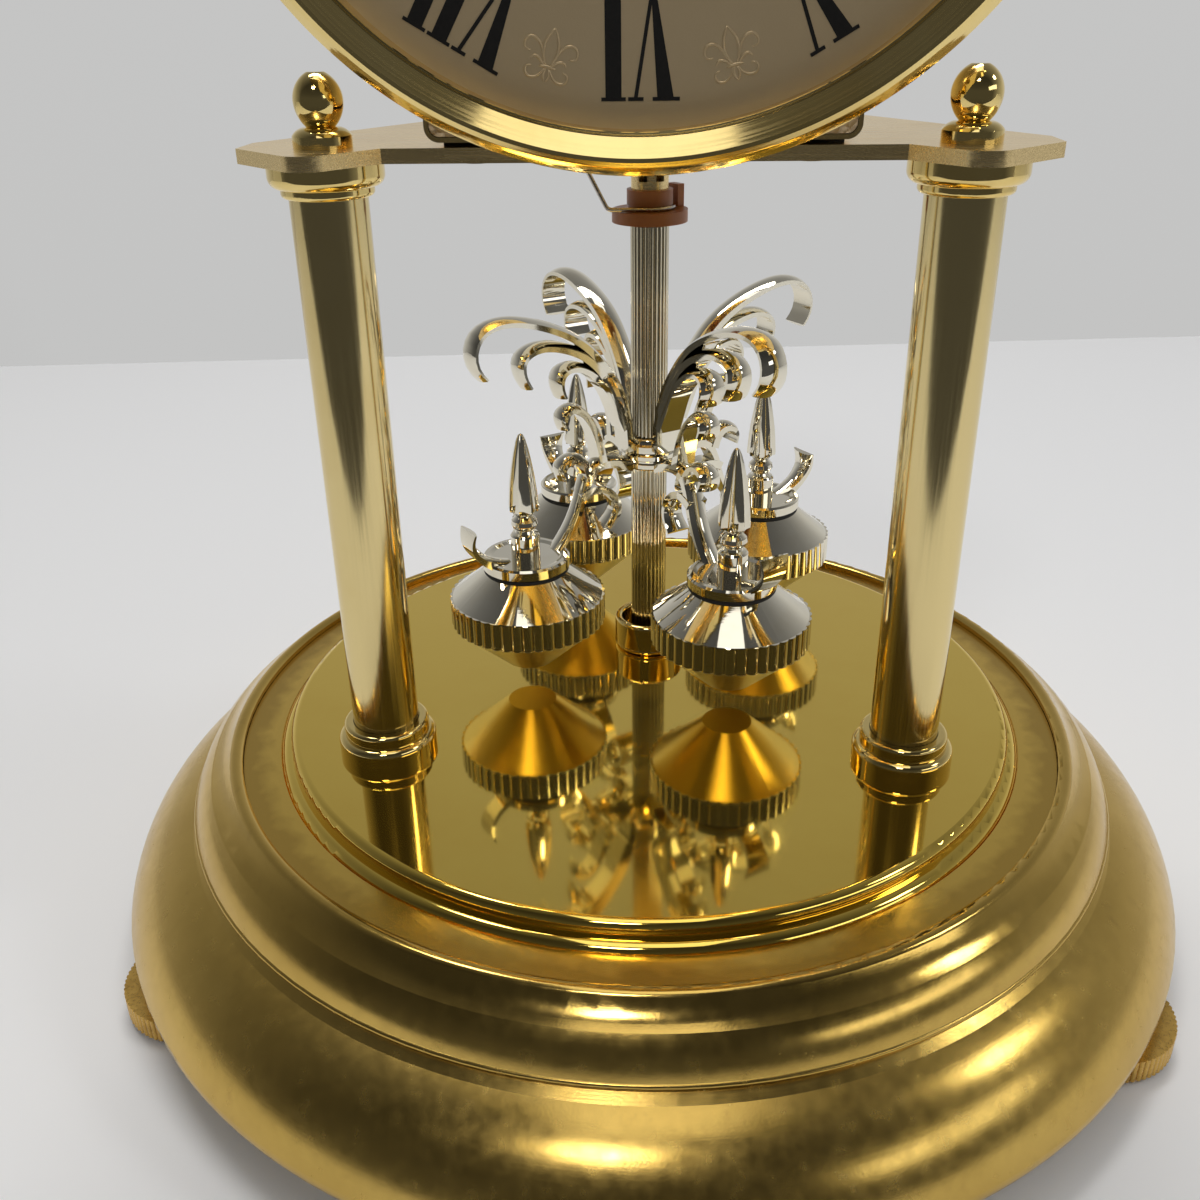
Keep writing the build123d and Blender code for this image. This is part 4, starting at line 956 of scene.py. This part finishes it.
# Arm spider
# The hub disc under the crown with four scrolled arms that end in carrier discs, all one plated
# casting. Scrolls with thin tips curl off each arm, and a leaf bends up outside each disc.
arm_lines = (
    ((4.8, 42.9), (9.6, 44.5), (13.4, 44.2), (15.8, 41.4), (17.4, 36.8), (20.0, 31.6), (23.0, 27.8)),
    ((11.4, 44.8), (12.6, 50.0), (15.4, 55.0), (18.7, 56.8), (20.8, 55.2), (20.4, 52.8)),
    ((14.6, 42.8), (16.3, 45.7), (19.0, 46.6), (21.3, 45.0), (20.9, 42.5)),
    ((16.8, 37.6), (13.6, 38.6), (10.4, 37.2), (8.9, 34.0), (11.2, 30.6)),
    ((33.4, 27.4), (36.6, 28.6), (39.4, 30.6), (41.0, 33.4), (40.8, 36.0)),
)
arm_w, flares = 4.4, (0.0, 0.8, 0.8, 0.8, 2.0)
carrier_r, carrier_low, carrier_high, weight_r = 8.7, deck_top + 26.0, deck_top + 28.4, 29.2
screw_bore, dish_z = 1.6, carrier_high - 0.35
carrier_line = [
    (screw_bore, carrier_low), (carrier_r - 0.3, carrier_low), (carrier_r, carrier_low + 0.3),
    (carrier_r, carrier_high - 0.4), (carrier_r - 0.4, carrier_high), (carrier_r - 1.2, carrier_high),
    (carrier_r - 2.0, dish_z), (screw_bore, dish_z),
]
carrier_spots, carrier_faces = tube_shape(carrier_line)
arm_shapes = [([(x + weight_r, y, z) for x, y, z in carrier_spots], carrier_faces)]
for line, flare in zip(arm_lines, flares):
    arm_shapes.append(curled_strip(line, arm_w, flare))
arms = round_the_rod(mesh_piece("scrolled_arms", *gathered(*arm_shapes), silver))
sharpen(arms)
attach(arms, "pendulum")
hub_line = [
    (bore, hub_low), (5.2, hub_low), (5.6, hub_low + 0.4), (5.6, hub_low + 1.2), (5.2, hub_low + 1.5),
    (5.2, hub_low + 1.8), (5.6, hub_low + 2.1), (5.6, hub_high - 0.3), (5.3, hub_high), (bore, hub_high),
]
hub = mesh_piece("arm_hub", *about_rod(tube_shape(hub_line)), silver)
sharpen(hub, limit=30)
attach(hub, "pendulum")
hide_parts("arm_spider")

# Weights
# Four plated brass double cones with a reeded rim, polished above it and left satin from the lathe
# below. Each hangs under a carrier disc and a thin black washer on a screw with a fluted spear head.
weight_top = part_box("weight_1")[1][2]
weight_plate, nodes, links, shader = plain_finish("turned_weight_plate", fresh_plate, 1.0, 0.05)
bloom = add_group(nodes, patina, Scale=70, Low=0.45, High=0.85)
colour_by(nodes, links, shader, bloom.outputs["Mask"], fresh_plate, aged_plate)
place = nodes.new("ShaderNodeTexCoord")
level = nodes.new("ShaderNodeSeparateXYZ")
links.new(place.outputs["Object"], level.inputs["Vector"])
cone_h, rim_h, edge_h = 5.4, 5.6, 0.2
rim_low = weight_top - (cone_h + rim_h) * mm
gloss_by(nodes, links, shader, level.outputs["Z"], 0.30, 0.05, low=rim_low, high=rim_low + edge_h * mm)
lathe_lines = add_group(nodes, grain, Stretch=(0.05, 0.05, 1), Scale=2400)
raise_grain(nodes, links, shader, lathe_lines.outputs["Value"], 0.004 * mm)
dress(weight_plate, "weight_1", "weight_2", "weight_3", "weight_4")
dress(rubber, "weight_washers")
spear_foot = carrier_high + 9.0
spear_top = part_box("weight_finials")[1][2] / mm
spear_flutes, flute_depth = 8, 0.15


def flute(a, z):
    """The share of the radius that is left at an angle, full at the foot of the spear."""
    if z < spear_foot + 0.4:
        return 1.0
    return 1 - flute_depth * abs(math.sin(spear_flutes * a / 2)) ** 0.75


post_rise = (
    (2.9, 4.2), (2.6, 4.6), (1.9, 4.8), (1.7, 5.3), (2.3, 5.9), (2.65, 6.6), (2.5, 7.4), (1.9, 8.0),
    (1.6, 8.3), (1.9, 8.6), (1.7, 8.9),
)
post_line = [(2.9, dish_z), *((r, carrier_high + rise) for r, rise in post_rise), (1.5, spear_foot)]
blade_rise = (
    (1.6, 0.3), (3.05, 0.5), (3.1, 1.2), (3.0, 2.6), (2.85, 4.6), (2.6, 6.8), (2.25, 9.0), (1.85, 11.2),
    (1.4, 13.2), (0.95, 14.8),
)
blade_line = [(r, spear_foot + rise) for r, rise in blade_rise] + [(0.5, spear_top - 0.25), (0.1, spear_top)]
spear_spots, spear_faces = gathered(turned_shape(post_line), turned_shape(blade_line, wave=flute))
spear_spots = [(x + weight_r, y, z) for x, y, z in spear_spots]
spears = round_the_rod(mesh_piece("spear_screws", spear_spots, spear_faces, silver))
sharpen(spears, limit=24)
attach(spears, "pendulum")
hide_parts("weight_finials")
